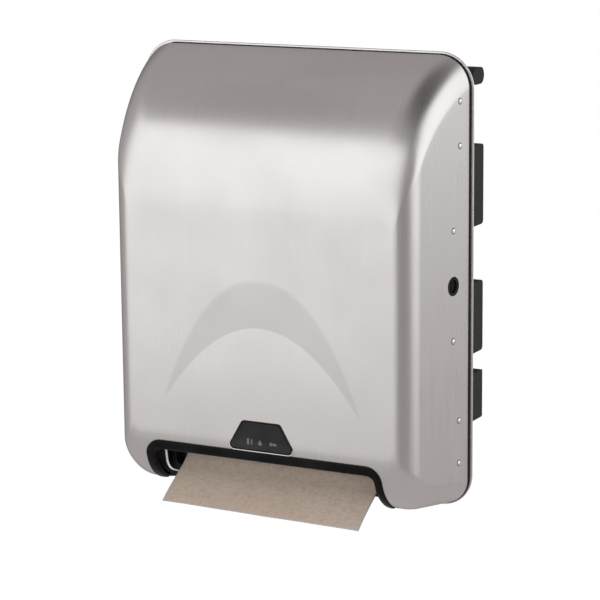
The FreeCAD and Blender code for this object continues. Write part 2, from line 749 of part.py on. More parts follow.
def hinge_leaves(height):
    """Two riveted leaves, each with an ear over or under the fixed eye."""
    leaves = []
    for side in (1, -1):
        span = PAIR + 6.0 - LEAF_LOW
        strip = Part.makeBox(size("strip_sheet"), 22.0, span,
                             Vector(-size("cover_sheet") - size("strip_sheet"), -13.0, LEAF_LOW))
        strip = strip.cut(Part.makeCylinder(shank, 20.0, Vector(-10, 0, PAIR), Vector(1, 0, 0)))
        inner = COVER_HALF_WIDTH - (size("hinge_setback") - size("cover_standoff")) * math.tan(SIDE_LEAN)
        inner -= (size("cover_sheet") + size("strip_sheet")) / math.cos(SIDE_LEAN)
        ear = Part.makeBox(inner + HINGE_X + 0.6, 2 * size("hinge_eye"), LEAF_HIGH - LEAF_LOW,
                           Vector(-HINGE_X, HINGE_Y - size("hinge_eye"), LEAF_LOW))
        eye = Part.makeCylinder(size("hinge_eye"), LEAF_HIGH - LEAF_LOW, Vector(-HINGE_X, HINGE_Y, LEAF_LOW))
        strip.Placement = side_place(size("rivet_setback"), 0.0)
        body = ear.fuse(eye).cut(shell_side_block())
        body = body.fuse(strip)
        bore = Part.makeCylinder(size("hinge_pin_radius"), 40.0, Vector(-HINGE_X, HINGE_Y, -20))
        body = other_side(body.cut(bore))
        if side < 0:
            body = body.mirror(Vector(), Vector(0, 0, 1))
        body.translate(Vector(0, 0, height))
        leaves.append(body)
    return Part.Compound(leaves)


def shell_side_block():
    """Everything on and outside the right side's inner surface."""
    cube = Part.makeBox(60.0, 200.0, 200.0, Vector(-size("cover_sheet"), -100.0, -100.0))
    cube.Placement = side_place(size("rivet_setback"), 0.0)
    return cube


for label, height in (("hinge_leaves_upper", PAIR_HEIGHT), ("hinge_leaves_lower", PAIR_LOW)):
    node(made(label + "_shape", hinge_leaves(height)), label)

pins = []
for height in (PAIR_HEIGHT, PAIR_LOW):
    pin = Part.makeCylinder(size("hinge_pin_radius"), 2 * LEAF_HIGH,
                            Vector(HINGE_X, HINGE_Y, height - LEAF_HIGH))
    head = Part.makeCylinder(size("hinge_pin_radius") + 1.2, 1.0,
                             Vector(HINGE_X, HINGE_Y, height + LEAF_HIGH))
    pins.append(pin.fuse(head))
node(made("hinge_pin_pair", Part.Compound(pins)), "hinge_pins")

rivet = Part.makeCylinder(size("rivet_shank"), size("cover_sheet + strip_sheet"),
                          Vector(-size("cover_sheet + strip_sheet"), 0, 0), Vector(1, 0, 0))
rise = size("rivet_rise")
dome_radius = (size("rivet_head") ** 2 + rise ** 2) / (2 * rise)
dome = Part.makeSphere(dome_radius, Vector(rise - dome_radius, 0, 0))
dome = dome.cut(Part.makeBox(20, 20, 20, Vector(-20, -10, -10)))
rivet = rivet.fuse(dome)
tail = Part.makeCylinder(size("rivet_head") * 0.85, 0.7,
                         Vector(-size("cover_sheet + strip_sheet") - 0.7, 0, 0), Vector(1, 0, 0))
rivet = rivet.fuse(tail)
right_rivets = [on_side(rivet, setback, height) for setback, height in RIVETS]
node(made("rivets", Part.Compound(right_rivets + [other_side(item) for item in right_rivets])), "cover_rivets")
plain_strip = side_strip(mid + 8.0, 8.0, [(mid, shank), (-mid, shank)])
stiffener = other_side(on_side(plain_strip, size("lock_setback"), size("lock_height")))
node(made("left_strip", stiffener), "side_stiffener")

lock_length = size("lock_length")
plug_bore = size("plug_radius + running_clearance")
barrel = Part.makeCylinder(size("lock_hole"), lock_length, Vector(-0.6 - lock_length, 0, 0), Vector(1, 0, 0))
barrel = barrel.cut(Part.makeCylinder(plug_bore, 60.0, Vector(-40, 0, 0), Vector(1, 0, 0)))
nut = Part.makeCylinder(size("lock_hole") + 2.2, 3.0,
                        Vector(-size("cover_sheet + strip_sheet") - 3.0, 0, 0), Vector(1, 0, 0))
nut = nut.cut(Part.makeCylinder(size("lock_hole"), 60.0, Vector(-40, 0, 0), Vector(1, 0, 0)))
lock_spot = (size("lock_setback"), size("lock_height"))
node(made("lock_barrel", on_side(barrel.fuse(nut), *lock_spot)), "lock_body")

plug = Part.makeCylinder(size("plug_radius"), lock_length - 1.0, Vector(-1.6 - lock_length, 0, 0), Vector(1, 0, 0))
keyway = Part.makeBox(9.0, 1.6, 7.5, Vector(-11.0, -0.8, -3.75))
node(made("plug", on_side(plug.cut(keyway), *lock_spot)), "lock_plug")

# Lock cam: an arm with a hooked rim that turns in behind the strike pin
CAM_OUTER = 20.6
CAM_INNER = 16.2
cam_start = -1.6 - lock_length - size("cam_sheet")
axis_x = Vector(1, 0, 0)
cam_disc = Part.makeCylinder(CAM_OUTER, size("cam_sheet"), Vector(cam_start, 0, 0), axis_x)
cam_hollow = Part.makeCylinder(CAM_INNER, 10.0, Vector(cam_start - 4, 0, 0), axis_x)
cam_hub = Part.makeCylinder(size("plug_radius") + 1.5, size("cam_sheet"), Vector(cam_start, 0, 0), axis_x)


def wedge(first, last):
    """Sector of the cam's plane between two angles, from the side's own y axis."""
    points = [Vector(cam_start - 2, 0, 0)]
    steps = 6
    for step in range(steps + 1):
        turn = math.radians(first + (last - first) * step / steps)
        points.append(Vector(cam_start - 2, 40 * math.cos(turn), 40 * math.sin(turn)))
    return Part.Face(Part.makePolygon(points + [points[0]])).extrude(Vector(10, 0, 0))


cam_hook = cam_disc.cut(cam_hollow).common(wedge(62, 135))
cam_arm = cam_disc.common(wedge(117, 135))
node(made("cam", on_side(cam_hub.fuse([cam_hook, cam_arm]), *lock_spot)), "lock_cam")

# Strike on the flange
strike_x = "flange_width / 2 - flange_lip - 3"
foot = block("strike_foot", (strike_x, "%s + 11" % strike_x), ("-flange_sheet - 2", "-flange_sheet"),
             ("lock_height - 14", "lock_height + 14"))
riser = block("strike_riser", (strike_x, "%s + 2" % strike_x), ("-14.5", "-flange_sheet"),
              ("lock_height - 7", "lock_height + 7"))
strike_hole = rod("strike_hole", "x", "2", ("%s - 5" % strike_x, "-11", "lock_height"), "12")
node(without("strike", joined("strike_solid", [foot, riser]), strike_hole), "strike_bracket")
node(rod("strike_rod", "x", "2", ("%s - 14" % strike_x, "-11", "lock_height"), "16"), "strike_pin")

# Fixed hinge arms that reach round the cover's back edge
for label, height in (("hinge_bracket_upper", PAIR_HEIGHT), ("hinge_bracket_lower", PAIR_LOW)):
    low, high = height - EYE_HALF, height + EYE_HALF
    eye = Part.makeCylinder(size("hinge_eye"), 2 * EYE_HALF, Vector(HINGE_X, HINGE_Y, low))
    inner_x = -size("tub_front_half") + 7.0
    outline = [(HINGE_X - 1.0, HINGE_Y - 4.2), (inner_x + 5.0, HINGE_Y - 9.5), (inner_x + 5.0, -0.5),
               (inner_x, -0.5), (inner_x, HINGE_Y - 4.5), (HINGE_X + 4.0, HINGE_Y - 1.0)]
    points = [Vector(x, y, low) for x, y in outline]
    arm = Part.Face(Part.makePolygon(points + [points[0]])).extrude(Vector(0, 0, 2 * EYE_HALF))
    foot = Part.makeBox(19.0, 2.0, 24.0, Vector(inner_x + 5.0 - 19.0, -0.5, height - 12.0))
    bracket = eye.fuse([arm, foot])
    bore_radius = size("hinge_pin_radius + running_clearance")
    bracket = bracket.cut(Part.makeCylinder(bore_radius, 40.0, Vector(HINGE_X, HINGE_Y, height - 20)))
    node(made(label + "_shape", bracket), label)

# Towel path: down from the roll's front, round the drive roller's back and out

path_offset = size("drive_radius + towel_clearance + towel_sheet / 2")
roll_offset = size("roll_radius + towel_clearance + towel_sheet / 2")
drive_axis = Vector(0, size("drive_back"), size("drive_height"))
roll_axis = Vector(0, size("roll_back"), size("roll_height"))
nip_turn = -math.radians(size("nip_angle"))
to_pinch = Vector(0, math.cos(nip_turn), math.sin(nip_turn))
nip = drive_axis + to_pinch * path_offset
between = drive_axis - roll_axis
cross_angle = math.asin((path_offset + roll_offset) / between.Length)
run_angle = math.atan2(between.z, between.y) + cross_angle
run = Vector(0, math.cos(run_angle), math.sin(run_angle))
side_normal = Vector(0, run.z, -run.y)
leave_roll = roll_axis + side_normal * roll_offset
meet_drive = drive_axis - side_normal * path_offset
tip = Vector(0, size("tip_front"), size("tip_height"))
chord = tip - nip
curl = chord.Length ** 2 / (2.0 * (-to_pinch).dot(chord))
curl_centre = nip - to_pinch * curl


def bend(centre, radius, start, end):
    """Arc through the middle direction of two directions."""
    middle = (start + end).normalize()
    return Part.Arc(centre + start * radius, centre + middle * radius, centre + end * radius).toShape()


to_meet = (meet_drive - drive_axis).normalize()
to_tip = (tip - curl_centre).normalize()
half_sheet = size("towel_sheet") / 2
towel_edges = []
for side in (-1, 1):
    shift = side_normal * (side * half_sheet)
    first = Part.LineSegment(leave_roll + shift, meet_drive + shift).toShape()
    second = bend(drive_axis, path_offset - side * half_sheet, to_meet, to_pinch)
    third = bend(curl_centre, curl - side * half_sheet, to_pinch, to_tip)
    towel_edges.append([first, second, third])
front_run, back_run = towel_edges[1], towel_edges[0]
start_cap = Part.LineSegment(leave_roll + side_normal * half_sheet, leave_roll - side_normal * half_sheet)
end_cap = Part.LineSegment(curl_centre + to_tip * (curl - half_sheet), curl_centre + to_tip * (curl + half_sheet))
loop = Part.Wire(Part.__sortEdges__(front_run + back_run + [start_cap.toShape(), end_cap.toShape()]))
towel_face = Part.Face(loop)
towel_face.translate(Vector(-size("towel_width") / 2, 0, 0))
node(made("towel", towel_face.extrude(Vector(size("towel_width"), 0, 0))), "paper_towel")

# Roll, core and arms

HALF_TOWEL = "towel_width / 2"
node(turned("roll", [("-%s" % HALF_TOWEL, "core_radius + core_wall"), (HALF_TOWEL, "core_radius + core_wall"),
                     (HALF_TOWEL, "roll_radius"), ("-%s" % HALF_TOWEL, "roll_radius")],
            "roll_back", "roll_height"), "paper_roll")
node(turned("core", [("-%s" % HALF_TOWEL, "core_radius"), (HALF_TOWEL, "core_radius"),
                     (HALF_TOWEL, "core_radius + core_wall"), ("-%s" % HALF_TOWEL, "core_radius + core_wall")],
            "roll_back", "roll_height"), "roll_core")

ARM_IN = "(%s + arm_gap)" % HALF_TOWEL
ARM_OUT = "(%s + arm_sheet)" % ARM_IN
PIVOT_Z = "(panel_top + arm_foot)"
arm_plate = prism("arm_plate", "side", [
    (rounded, "roll_back - 9", "roll_back + 9", "%s - 5" % PIVOT_Z, "roll_height + 16", "4.5"),
], ARM_IN, ARM_OUT)
arm_hub = turned("arm_hub", [("%s - arm_gap - hub_reach" % ARM_IN, "0"), (ARM_OUT, "0"),
                             (ARM_OUT, "core_radius + 3"), (ARM_IN, "core_radius + 3"),
                             (ARM_IN, "core_radius - hub_clearance"),
                             ("%s - arm_gap - hub_reach + 3" % ARM_IN, "core_radius - hub_clearance"),
                             ("%s - arm_gap - hub_reach" % ARM_IN, "core_radius - hub_clearance - 3")],
                 "roll_back", "roll_height")
arm_boss = rod("arm_boss", "y", "5", (ARM_OUT, "roll_back - 10", PIVOT_Z), "20")
arm_bore = rod("arm_bore", "y", "arm_pin_radius + running_clearance", (ARM_OUT, "roll_back - 20", PIVOT_Z), "40")
arm_right = without("arm_right", joined("arm_solid", [arm_plate, arm_hub, arm_boss]), arm_bore)
node(arm_right, "roll_arm_right")
node(mirrored("arm_left", arm_right), "roll_arm_left")

ears = []
for index, (near, far) in enumerate((("-14", "-11"), ("11", "14"))):
    ears.append(block("arm_ear_%d" % index, ("%s - 4.5" % ARM_OUT, "%s + 4.5" % ARM_OUT),
                      ("roll_back + (%s)" % near, "roll_back + (%s)" % far), ("panel_top", "%s + 5" % PIVOT_Z)))
ear_base = block("arm_base", ("%s - 4.5" % ARM_OUT, "%s + 4.5" % ARM_OUT),
                 ("roll_back - 14", "roll_back + 14"), ("panel_top", "panel_top + 2"))
pin_bore = rod("arm_pin_bore", "y", "arm_pin_radius", (ARM_OUT, "roll_back - 20", PIVOT_Z), "40")
bracket_right = without("bracket_right", joined("arm_bracket_solid", ears + [ear_base]), pin_bore)
node(bracket_right, "arm_bracket_right")
node(mirrored("bracket_left", bracket_right), "arm_bracket_left")
arm_pin = rod("arm_pin", "y", "arm_pin_radius", (ARM_OUT, "roll_back - 15", PIVOT_Z), "30")
node(grouped("arm_pin_pair", [arm_pin, mirrored("arm_pin_mirror", arm_pin)]), "arm_pins")

# Rollers

GEAR_LOW = "frame_half + frame_sheet + gear_gap"
GEAR_HIGH = "%s + gear_face" % GEAR_LOW
ROLLER_HALF = "towel_width / 2 - 2"
FRAME_OUT = "frame_half + frame_sheet"
pinch_axis = drive_axis + to_pinch * size("drive_radius + pinch_radius + towel_sheet + 2 * towel_clearance")
PINCH_GAP = "(drive_radius + pinch_radius + towel_sheet + 2 * towel_clearance)"
PINCH_Y = "drive_back + %s * cos(nip_angle)" % PINCH_GAP
PINCH_Z = "drive_height - %s * sin(nip_angle)" % PINCH_GAP


def roller(name, radius, journal, left, right, y, z):
    """Turned roller body with journals out to its ends."""
    return turned(name, [(left, "0"), (right, "0"), (right, journal), (ROLLER_HALF, journal), (ROLLER_HALF, radius),
                         ("-(%s)" % ROLLER_HALF, radius), ("-(%s)" % ROLLER_HALF, journal), (left, journal)], y, z)


def sleeves(name, inner, outer, y, z):
    """Rubber rings along a roller."""
    rings = []
    for index in (-1, 0, 1):
        low = "%d * sleeve_pitch - sleeve_width / 2" % index
        high = "%d * sleeve_pitch + sleeve_width / 2" % index
        rings.append(turned("%s_%d" % (name, index + 1),
                            [(low, inner), (high, inner), (high, outer), (low, outer)], y, z))
    return grouped(name, rings)


node(roller("drive_core", "drive_radius - 4", "drive_journal", "-(%s) - 3" % FRAME_OUT,
            "%s + 1" % GEAR_HIGH, "drive_back", "drive_height"), "drive_shaft")
node(sleeves("drive_rings", "drive_radius - 4", "drive_radius", "drive_back", "drive_height"), "drive_sleeves")
node(roller("pinch_core", "pinch_radius - 3.5", "pinch_journal", "-(%s) - 2" % FRAME_OUT,
            "%s + 2" % FRAME_OUT, PINCH_Y, PINCH_Z), "pinch_shaft")
node(sleeves("pinch_rings", "pinch_radius - 3.5", "pinch_radius", PINCH_Y, PINCH_Z), "pinch_sleeves")

# Gears


def involute(radius, base):
    """Angle from the start of an involute to where it crosses a radius."""
    slope = math.sqrt(max((radius / base) ** 2 - 1.0, 0.0))
    return slope - math.atan(slope)


def gear_blank(teeth, bore, phase):
    """Spur gear about X, with a tooth centred at the phase angle from +Y."""
    module = size("gear_module")
    pitch = module * teeth / 2
    base = pitch * math.cos(math.radians(PRESSURE_ANGLE))
    outer = pitch + module * 0.9
    root = pitch - module * 1.25
    half_tooth = math.pi / (2 * teeth) - size("gear_backlash") / (2 * pitch) / 2
    low = max(base, root)
    steps = 5
    flank = []
    for step in range(steps + 1):
        radius = low + (outer - low) * step / steps
        flank.append((radius, half_tooth + involute(pitch, base) - involute(radius, base)))
    edges = []

    def spot(radius, angle):
        return Vector(0, radius * math.cos(angle), radius * math.sin(angle))

    step_angle = 2 * math.pi / teeth
    for tooth in range(teeth):
        middle = math.radians(phase) + tooth * step_angle
        rising = [spot(radius, middle - angle) for radius, angle in flank]
        falling = [spot(radius, middle + angle) for radius, angle in reversed(flank)]
        foot_in = spot(root, middle - flank[0][1])
        foot_out = spot(root, middle + flank[0][1])
        following = spot(root, middle + step_angle - flank[0][1])
        if low > root:
            edges.append(Part.LineSegment(foot_in, rising[0]).toShape())
            edges.append(Part.LineSegment(falling[-1], foot_out).toShape())
        for side in (rising, falling):
            curve = Part.BSplineCurve()
            curve.interpolate(side)
            edges.append(curve.toShape())
        edges.append(Part.Arc(rising[-1], spot(outer, middle), falling[0]).toShape())
        valley = spot(root, middle + step_angle / 2)
        edges.append(Part.Arc(foot_out, valley, following).toShape())
    outline = Part.Wire(Part.__sortEdges__(edges))
    gear = Part.Face(outline).extrude(Vector(size("gear_face"), 0, 0))
    hole = Part.makeCylinder(bore, 3 * size("gear_face"), Vector(-size("gear_face"), 0, 0), Vector(1, 0, 0))
    return gear.cut(hole)


def polar(centre, distance, degrees):
    turn = math.radians(degrees)
    return centre + Vector(0, distance * math.cos(turn), distance * math.sin(turn))


def tooth_gap(degrees, teeth):
    """Phase that puts a gap at an angle."""
    return degrees + 180.0 / teeth


z_drive, z_idler, z_pinion = GEAR_TEETH["drive"], GEAR_TEETH["idler"], GEAR_TEETH["pinion"]
idler_dir = size("idler_angle")
pinion_dir = size("pinion_angle")
half_module = size("gear_module") / 2
idler_axis = polar(drive_axis, half_module * (z_drive + z_idler), idler_dir)
pinion_axis = polar(idler_axis, half_module * (z_idler + z_pinion), pinion_dir)
idler_phase = tooth_gap(idler_dir + 180.0, z_idler)
idler_pitch = 360.0 / z_idler
ahead = (idler_phase - pinion_dir) % idler_pitch
pinion_phase = tooth_gap(pinion_dir + 180.0 - ahead * z_idler / z_pinion, z_pinion)
gear_x = size(GEAR_LOW)


def gear_at(teeth, bore, phase, axis):
    gear = gear_blank(teeth, bore, phase)
    gear.translate(Vector(gear_x, axis.y, axis.z))
    return gear


node(made("drive_wheel", gear_at(z_drive, size("drive_journal"), idler_dir, drive_axis)), "drive_gear")
idler_bore = size("drive_journal + running_clearance")
node(made("idler_wheel", gear_at(z_idler, idler_bore, idler_phase, idler_axis)), "idler_gear")
MOTOR_SHAFT = 1.5
pinion = gear_at(z_pinion, MOTOR_SHAFT, pinion_phase, pinion_axis)
motor_shaft = Part.makeCylinder(MOTOR_SHAFT, gear_x + size("gear_face") - size("frame_half") + 10.0,
                                Vector(size("frame_half") - 10.0, pinion_axis.y, pinion_axis.z), Vector(1, 0, 0))
node(made("pinion_wheel", pinion.fuse(motor_shaft)), "motor_pinion")

pin_length = gear_x + size("gear_face") + 1.0 - size("frame_half")
node(made("idler_rod", Part.makeCylinder(size("drive_journal"), pin_length,
                                         Vector(size("frame_half"), idler_axis.y, idler_axis.z),
                                         Vector(1, 0, 0))), "idler_pin")

# Side frames and bushes

FRAME_BACK = "(38 - panel_front)"
frame_points = [("chute_front + 3", "-tub_bottom"), ("-4", "-tub_bottom"), ("0", "8 - tub_bottom"),
                (FRAME_BACK, "26 - tub_bottom"), (FRAME_BACK, "panel_top"), ("-panel_front - 4", "panel_top"), ("-panel_front - 4", "panel_bottom"),
                ("chute_front + 3", "drive_height + 7")]
BUSH_WALL = "2"
IDLER_Y = "drive_back + gear_module * %d * cos(idler_angle)" % ((z_drive + z_idler) // 2)
IDLER_Z = "drive_height + gear_module * %d * sin(idler_angle)" % ((z_drive + z_idler) // 2)
MOTOR_Y = "%s + gear_module * %d * cos(pinion_angle)" % (IDLER_Y, (z_idler + z_pinion) // 2)
MOTOR_Z = "%s + gear_module * %d * sin(pinion_angle)" % (IDLER_Z, (z_idler + z_pinion) // 2)
MOTOR_NECK = "6"
drive_hole = (circle, "drive_back", "drive_height", "drive_journal + %s" % BUSH_WALL)
pinch_hole = (circle, PINCH_Y, PINCH_Z, "pinch_journal + %s" % BUSH_WALL)
left_loops = [(polygon, frame_points), drive_hole, pinch_hole]
right_loops = left_loops + [(circle, IDLER_Y, IDLER_Z, "drive_journal"), (circle, MOTOR_Y, MOTOR_Z, MOTOR_NECK)]
node(prism("frame_left", "side", left_loops, "-(%s)" % FRAME_OUT, "-frame_half"), "side_frame_left")
node(prism("frame_right", "side", right_loops, "frame_half", FRAME_OUT), "side_frame_right")

bushes = []
for label, journal, y, z in (("drive", "drive_journal", "drive_back", "drive_height"),
                             ("pinch", "pinch_journal", PINCH_Y, PINCH_Z)):
    bore = "%s + running_clearance" % journal
    bush = turned("%s_bush" % label, [
        ("frame_half - 1", bore), ("%s + 1.2" % FRAME_OUT, bore),
        ("%s + 1.2" % FRAME_OUT, "%s + %s + 1.5" % (journal, BUSH_WALL)),
        (FRAME_OUT, "%s + %s + 1.5" % (journal, BUSH_WALL)),
        (FRAME_OUT, "%s + %s" % (journal, BUSH_WALL)), ("frame_half - 1", "%s + %s" % (journal, BUSH_WALL))], y, z)
    bushes += [bush, mirrored("%s_bush_left" % label, bush)]
node(grouped("bushes", bushes), "shaft_bushes")

# Spacers between the side frames and the housing's inner sides
spacers = []
for index, height in enumerate(("panel_top - 22.5", "drive_height - 4.9")):
    spacer = shared("spacer_%d" % index, [
        block("spacer_block_%d" % index, (FRAME_OUT, "tub_front_half + 5"),
              ("%s - 14" % FRAME_BACK, "%s - 2" % FRAME_BACK), ("%s - 7" % height, "%s + 7" % height)), tub_inner])
    spacers += [spacer, mirrored("spacer_mirror_%d" % index, spacer)]
node(grouped("spacers", spacers), "frame_spacers")

# Panel and shelf over the mechanism

BOX_FRONT = "-panel_front + panel_sheet"
PANEL_Y = ("-panel_front", BOX_FRONT)
BOX_LENGTH = "(2 * cell_length + 2 * contact_length)"
BOX_RIGHT = "(box_left + %s + 2 * box_wall)" % BOX_LENGTH
BOX_BOTTOM = "(box_top - box_height)"
button_hole = (circle, "button_x", "button_z", "button_radius + 0.4")
KNOB_HALF = "2.5"
KNOB_RISE = "1.8"
switch_slot = (rounded, "button_x - switch_travel / 2 - %s - 0.3" % KNOB_HALF,
               "button_x + switch_travel / 2 + %s + 0.3" % KNOB_HALF,
               "switch_z - %s - 0.4" % KNOB_RISE, "switch_z + %s + 0.4" % KNOB_RISE, "0.8")
battery_mouth = (rounded, "box_left + box_wall", "%s - box_wall" % BOX_RIGHT,
                 "%s + box_wall" % BOX_BOTTOM, "box_top - box_wall", "3")
panel = prism("panel_face", "front", [
    (rounded, "-frame_half", "frame_half", "panel_bottom", "panel_top", "2"), button_hole, switch_slot,
    battery_mouth], *PANEL_Y)
shelf = block("panel_shelf", ("-frame_half", "frame_half"), ("-panel_front + panel_sheet", "shelf_depth"),
              ("panel_top - panel_sheet", "panel_top"))
SLIDE_LEFT = "(box_left + box_wall - slide_overlap)"
SLIDE_RIGHT = "(%s - box_wall + slide_overlap)" % BOX_RIGHT
SLIDE_LOW = "(%s + box_wall - slide_overlap)" % BOX_BOTTOM
SLIDE_HIGH = "(box_top - box_wall + slide_overlap)"
rails = []
for index, (low, high) in enumerate((("%s + slide_clearance" % SLIDE_HIGH, "%s + slide_clearance + 2" % SLIDE_HIGH),
                                     ("%s - slide_clearance - 2" % SLIDE_LOW, "%s - slide_clearance" % SLIDE_LOW))):
    rails.append(block("rail_%d" % index, (SLIDE_LEFT, "%s + slide_travel" % SLIDE_RIGHT),
                       ("-panel_front - slide_sheet - 1.2", "-panel_front"), (low, high)))
BOARD_LEFT = "%s + 5" % BOX_RIGHT
BOARD_Y = "-panel_front + 13"
BOARD_TOP = "panel_top - panel_sheet - 3"
posts = []
for index, (x, z) in enumerate(((BOARD_LEFT, BOARD_TOP), ("frame_half - 12", BOARD_TOP),
                                (BOARD_LEFT, "panel_top - 58.5"))):
    posts.append(rod("board_post_%d" % index, "y", "2.5", ("%s + 4" % x, BOX_FRONT, "%s - 4" % z),
                     "%s - (%s)" % (BOARD_Y, BOX_FRONT)))
node(joined("panel", [panel, shelf] + rails + posts), "mechanism_cover")

slide_plate = prism("slide_plate", "front", [
    (rounded, SLIDE_LEFT, SLIDE_RIGHT, SLIDE_LOW, SLIDE_HIGH, "1.5")],
    "-panel_front - 0.3 - slide_sheet", "-panel_front - 0.3")
ridges = []
for index in range(5):
    x = "%s - 12 + %d * 3.2 - 14" % (SLIDE_RIGHT, index)
    ridges.append(block("ridge_%d" % index, (x, "%s + 1.2" % x),
                        ("-panel_front - 0.3 - slide_sheet - 0.8", "-panel_front - 0.3 - slide_sheet"),
                        ("(%s + %s) / 2 - 11" % (SLIDE_LOW, SLIDE_HIGH), "(%s + %s) / 2 + 11" % (SLIDE_LOW, SLIDE_HIGH))))
node(joined("slide", [slide_plate] + ridges), "battery_cover")

# Battery box, cells and contacts
BOX_DEPTH = "(2 * cell_radius + 2 * cell_clearance + 2)"
box_solid = block("box_solid", ("box_left", BOX_RIGHT), (BOX_FRONT, "%s + %s + box_wall" % (BOX_FRONT, BOX_DEPTH)),
                  (BOX_BOTTOM, "box_top"))
box_room = block("box_room", ("box_left + box_wall", "%s - box_wall" % BOX_RIGHT),
                 (BOX_FRONT, "%s + %s" % (BOX_FRONT, BOX_DEPTH)), ("%s + box_wall" % BOX_BOTTOM, "box_top - box_wall"))
node(without("box", box_solid, box_room), "battery_box")

cells = []
contacts = []
CELL_Y = "%s + 2 + cell_clearance + cell_radius" % BOX_FRONT
for row in range(2):
    cell_z = "box_top - box_wall - cell_clearance - cell_radius - %d * (2 * cell_radius + 2 * cell_clearance)" % row
    contacts.append(rod("contact_left_%d" % row, "x", "5", ("box_left + box_wall", CELL_Y, cell_z), "contact_length"))
    contacts.append(rod("contact_right_%d" % row, "x", "5",
                        ("%s - box_wall - contact_length" % BOX_RIGHT, CELL_Y, cell_z), "contact_length"))
    for column in range(2):
        start = "box_left + box_wall + contact_length + %d * cell_length" % column
        cells.append(turned("cell_%d_%d" % (row, column), [
            (start, "0"), ("%s + cell_length" % start, "0"), ("%s + cell_length" % start, "4.5"),
            ("%s + cell_length - 1.6" % start, "4.5"), ("%s + cell_length - 1.6" % start, "cell_radius"),
            (start, "cell_radius")], CELL_Y, cell_z))
node(grouped("cells", cells), "battery_cells")
node(grouped("contacts", contacts), "battery_contacts")

# Control board, its parts, button and switch
board = block("board", (BOARD_LEFT, "frame_half - 4"), (BOARD_Y, "%s + board_sheet" % BOARD_Y),
              ("%s + motor_radius + 4" % MOTOR_Z, BOARD_TOP))
node(board, "control_board")
SWITCH_FACE = "%s - 4" % BOARD_Y
chip = block("chip", ("%s + 25" % BOARD_LEFT, "%s + 39" % BOARD_LEFT), ("%s - 2" % BOARD_Y, BOARD_Y),
             ("panel_top - 40.5", "panel_top - 26.5"))
relay = block("relay", ("%s + 9" % BOARD_LEFT, "%s + 21" % BOARD_LEFT),
              ("%s + board_sheet" % BOARD_Y, "%s + board_sheet + 14" % BOARD_Y),
              ("panel_top - 58.5", "panel_top - 42.5"))
capacitor = rod("capacitor", "y", "5", ("%s + 55" % BOARD_LEFT, "%s + board_sheet" % BOARD_Y, "panel_top - 20.5"), "14")
key = block("key", ("button_x - 3", "button_x + 3"), (SWITCH_FACE, BOARD_Y), ("button_z - 3", "button_z + 3"))
selector = block("selector", ("button_x - 7", "button_x + 7"), ("%s + 1.2" % SWITCH_FACE, BOARD_Y),
                 ("switch_z - 3", "switch_z + 3"))
node(grouped("board_parts", [chip, relay, capacitor, key, selector]), "board_components")

button_cap = rod("button_cap", "y", "button_radius", ("button_x", "-panel_front - 3.5", "button_z"), "3.5 + panel_sheet + 0.3")
button_flange = rod("button_flange", "y", "button_radius + 1.6",
                    ("button_x", "-panel_front + panel_sheet + 0.3", "button_z"), "1.5")
button_stem = rod("button_stem", "y", "2.2", ("button_x", "-panel_front + panel_sheet + 0.3", "button_z"),
                  "13 - 4 - panel_sheet - 0.3 - button_travel - 0.4")
node(joined("button", [button_cap, button_flange, button_stem]), "feed_button")

knob_x = "button_x - switch_travel / 2"
knob = block("knob", ("%s - %s" % (knob_x, KNOB_HALF), "%s + %s" % (knob_x, KNOB_HALF)),
             ("-panel_front - 2", "-panel_front + panel_sheet + 0.3"),
             ("switch_z - %s" % KNOB_RISE, "switch_z + %s" % KNOB_RISE))
knob_plate = block("knob_plate", ("%s - 4.5" % knob_x, "%s + 4.5" % knob_x),
                   ("-panel_front + panel_sheet + 0.3", "-panel_front + panel_sheet + 1.8"),
                   ("switch_z - 4", "switch_z + 4"))
node(joined("slider", [knob, knob_plate]), "length_switch")

# Motor
motor_can = rod("motor_can", "x", "motor_radius", ("frame_half - motor_length", MOTOR_Y, MOTOR_Z), "motor_length")
motor_neck = rod("motor_neck", "x", MOTOR_NECK, ("frame_half", MOTOR_Y, MOTOR_Z), "frame_sheet")
motor_tail = rod("motor_tail", "x", "5", ("frame_half - motor_length - 3", MOTOR_Y, MOTOR_Z), "3")
motor_bore = rod("motor_bore", "x", "%s + running_clearance" % MOTOR_SHAFT,
                 ("frame_half - 10.5", MOTOR_Y, MOTOR_Z), "20")
node(without("motor", joined("motor_solid", [motor_can, motor_neck, motor_tail]), motor_bore), "drive_motor")

# Gear cover
COVER_X = ("%s + 1.5" % GEAR_HIGH, "%s + 3" % GEAR_HIGH)
gear_plate = prism("gear_plate", "side", [
    (rounded, "drive_back - 20", "drive_back + 36.6", "drive_height - 22", "drive_height + 39", "6")], *COVER_X)
posts = []
for index, (y, z) in enumerate((("drive_back - 14", "drive_height - 17"), ("drive_back - 14", "drive_height + 33"),
                                ("drive_back + 31", "drive_height + 34"))):
    posts.append(rod("gear_post_%d" % index, "x", "2.5", (FRAME_OUT, y, z), "gear_gap + gear_face + 1.5"))
node(joined("gear_shield", [gear_plate] + posts), "gear_cover")

# Outlet chute


def curl_height(y):
    """Height of the towel's lower face where it leaves, at a depth."""
    return curl_centre.z - math.sqrt((curl + half_sheet) ** 2 - (y - curl_centre.y) ** 2)


chute_front = size("chute_front")
chute_back = chute_front + size("chute_length")
wall = size("chute_wall")
lip_top = curl_height(chute_front) - 0.8
chute_low = lip_top - wall
chute_high = chute_low + size("chute_height")
half_out = size("chute_half")
half_in = half_out - size("chute_side")


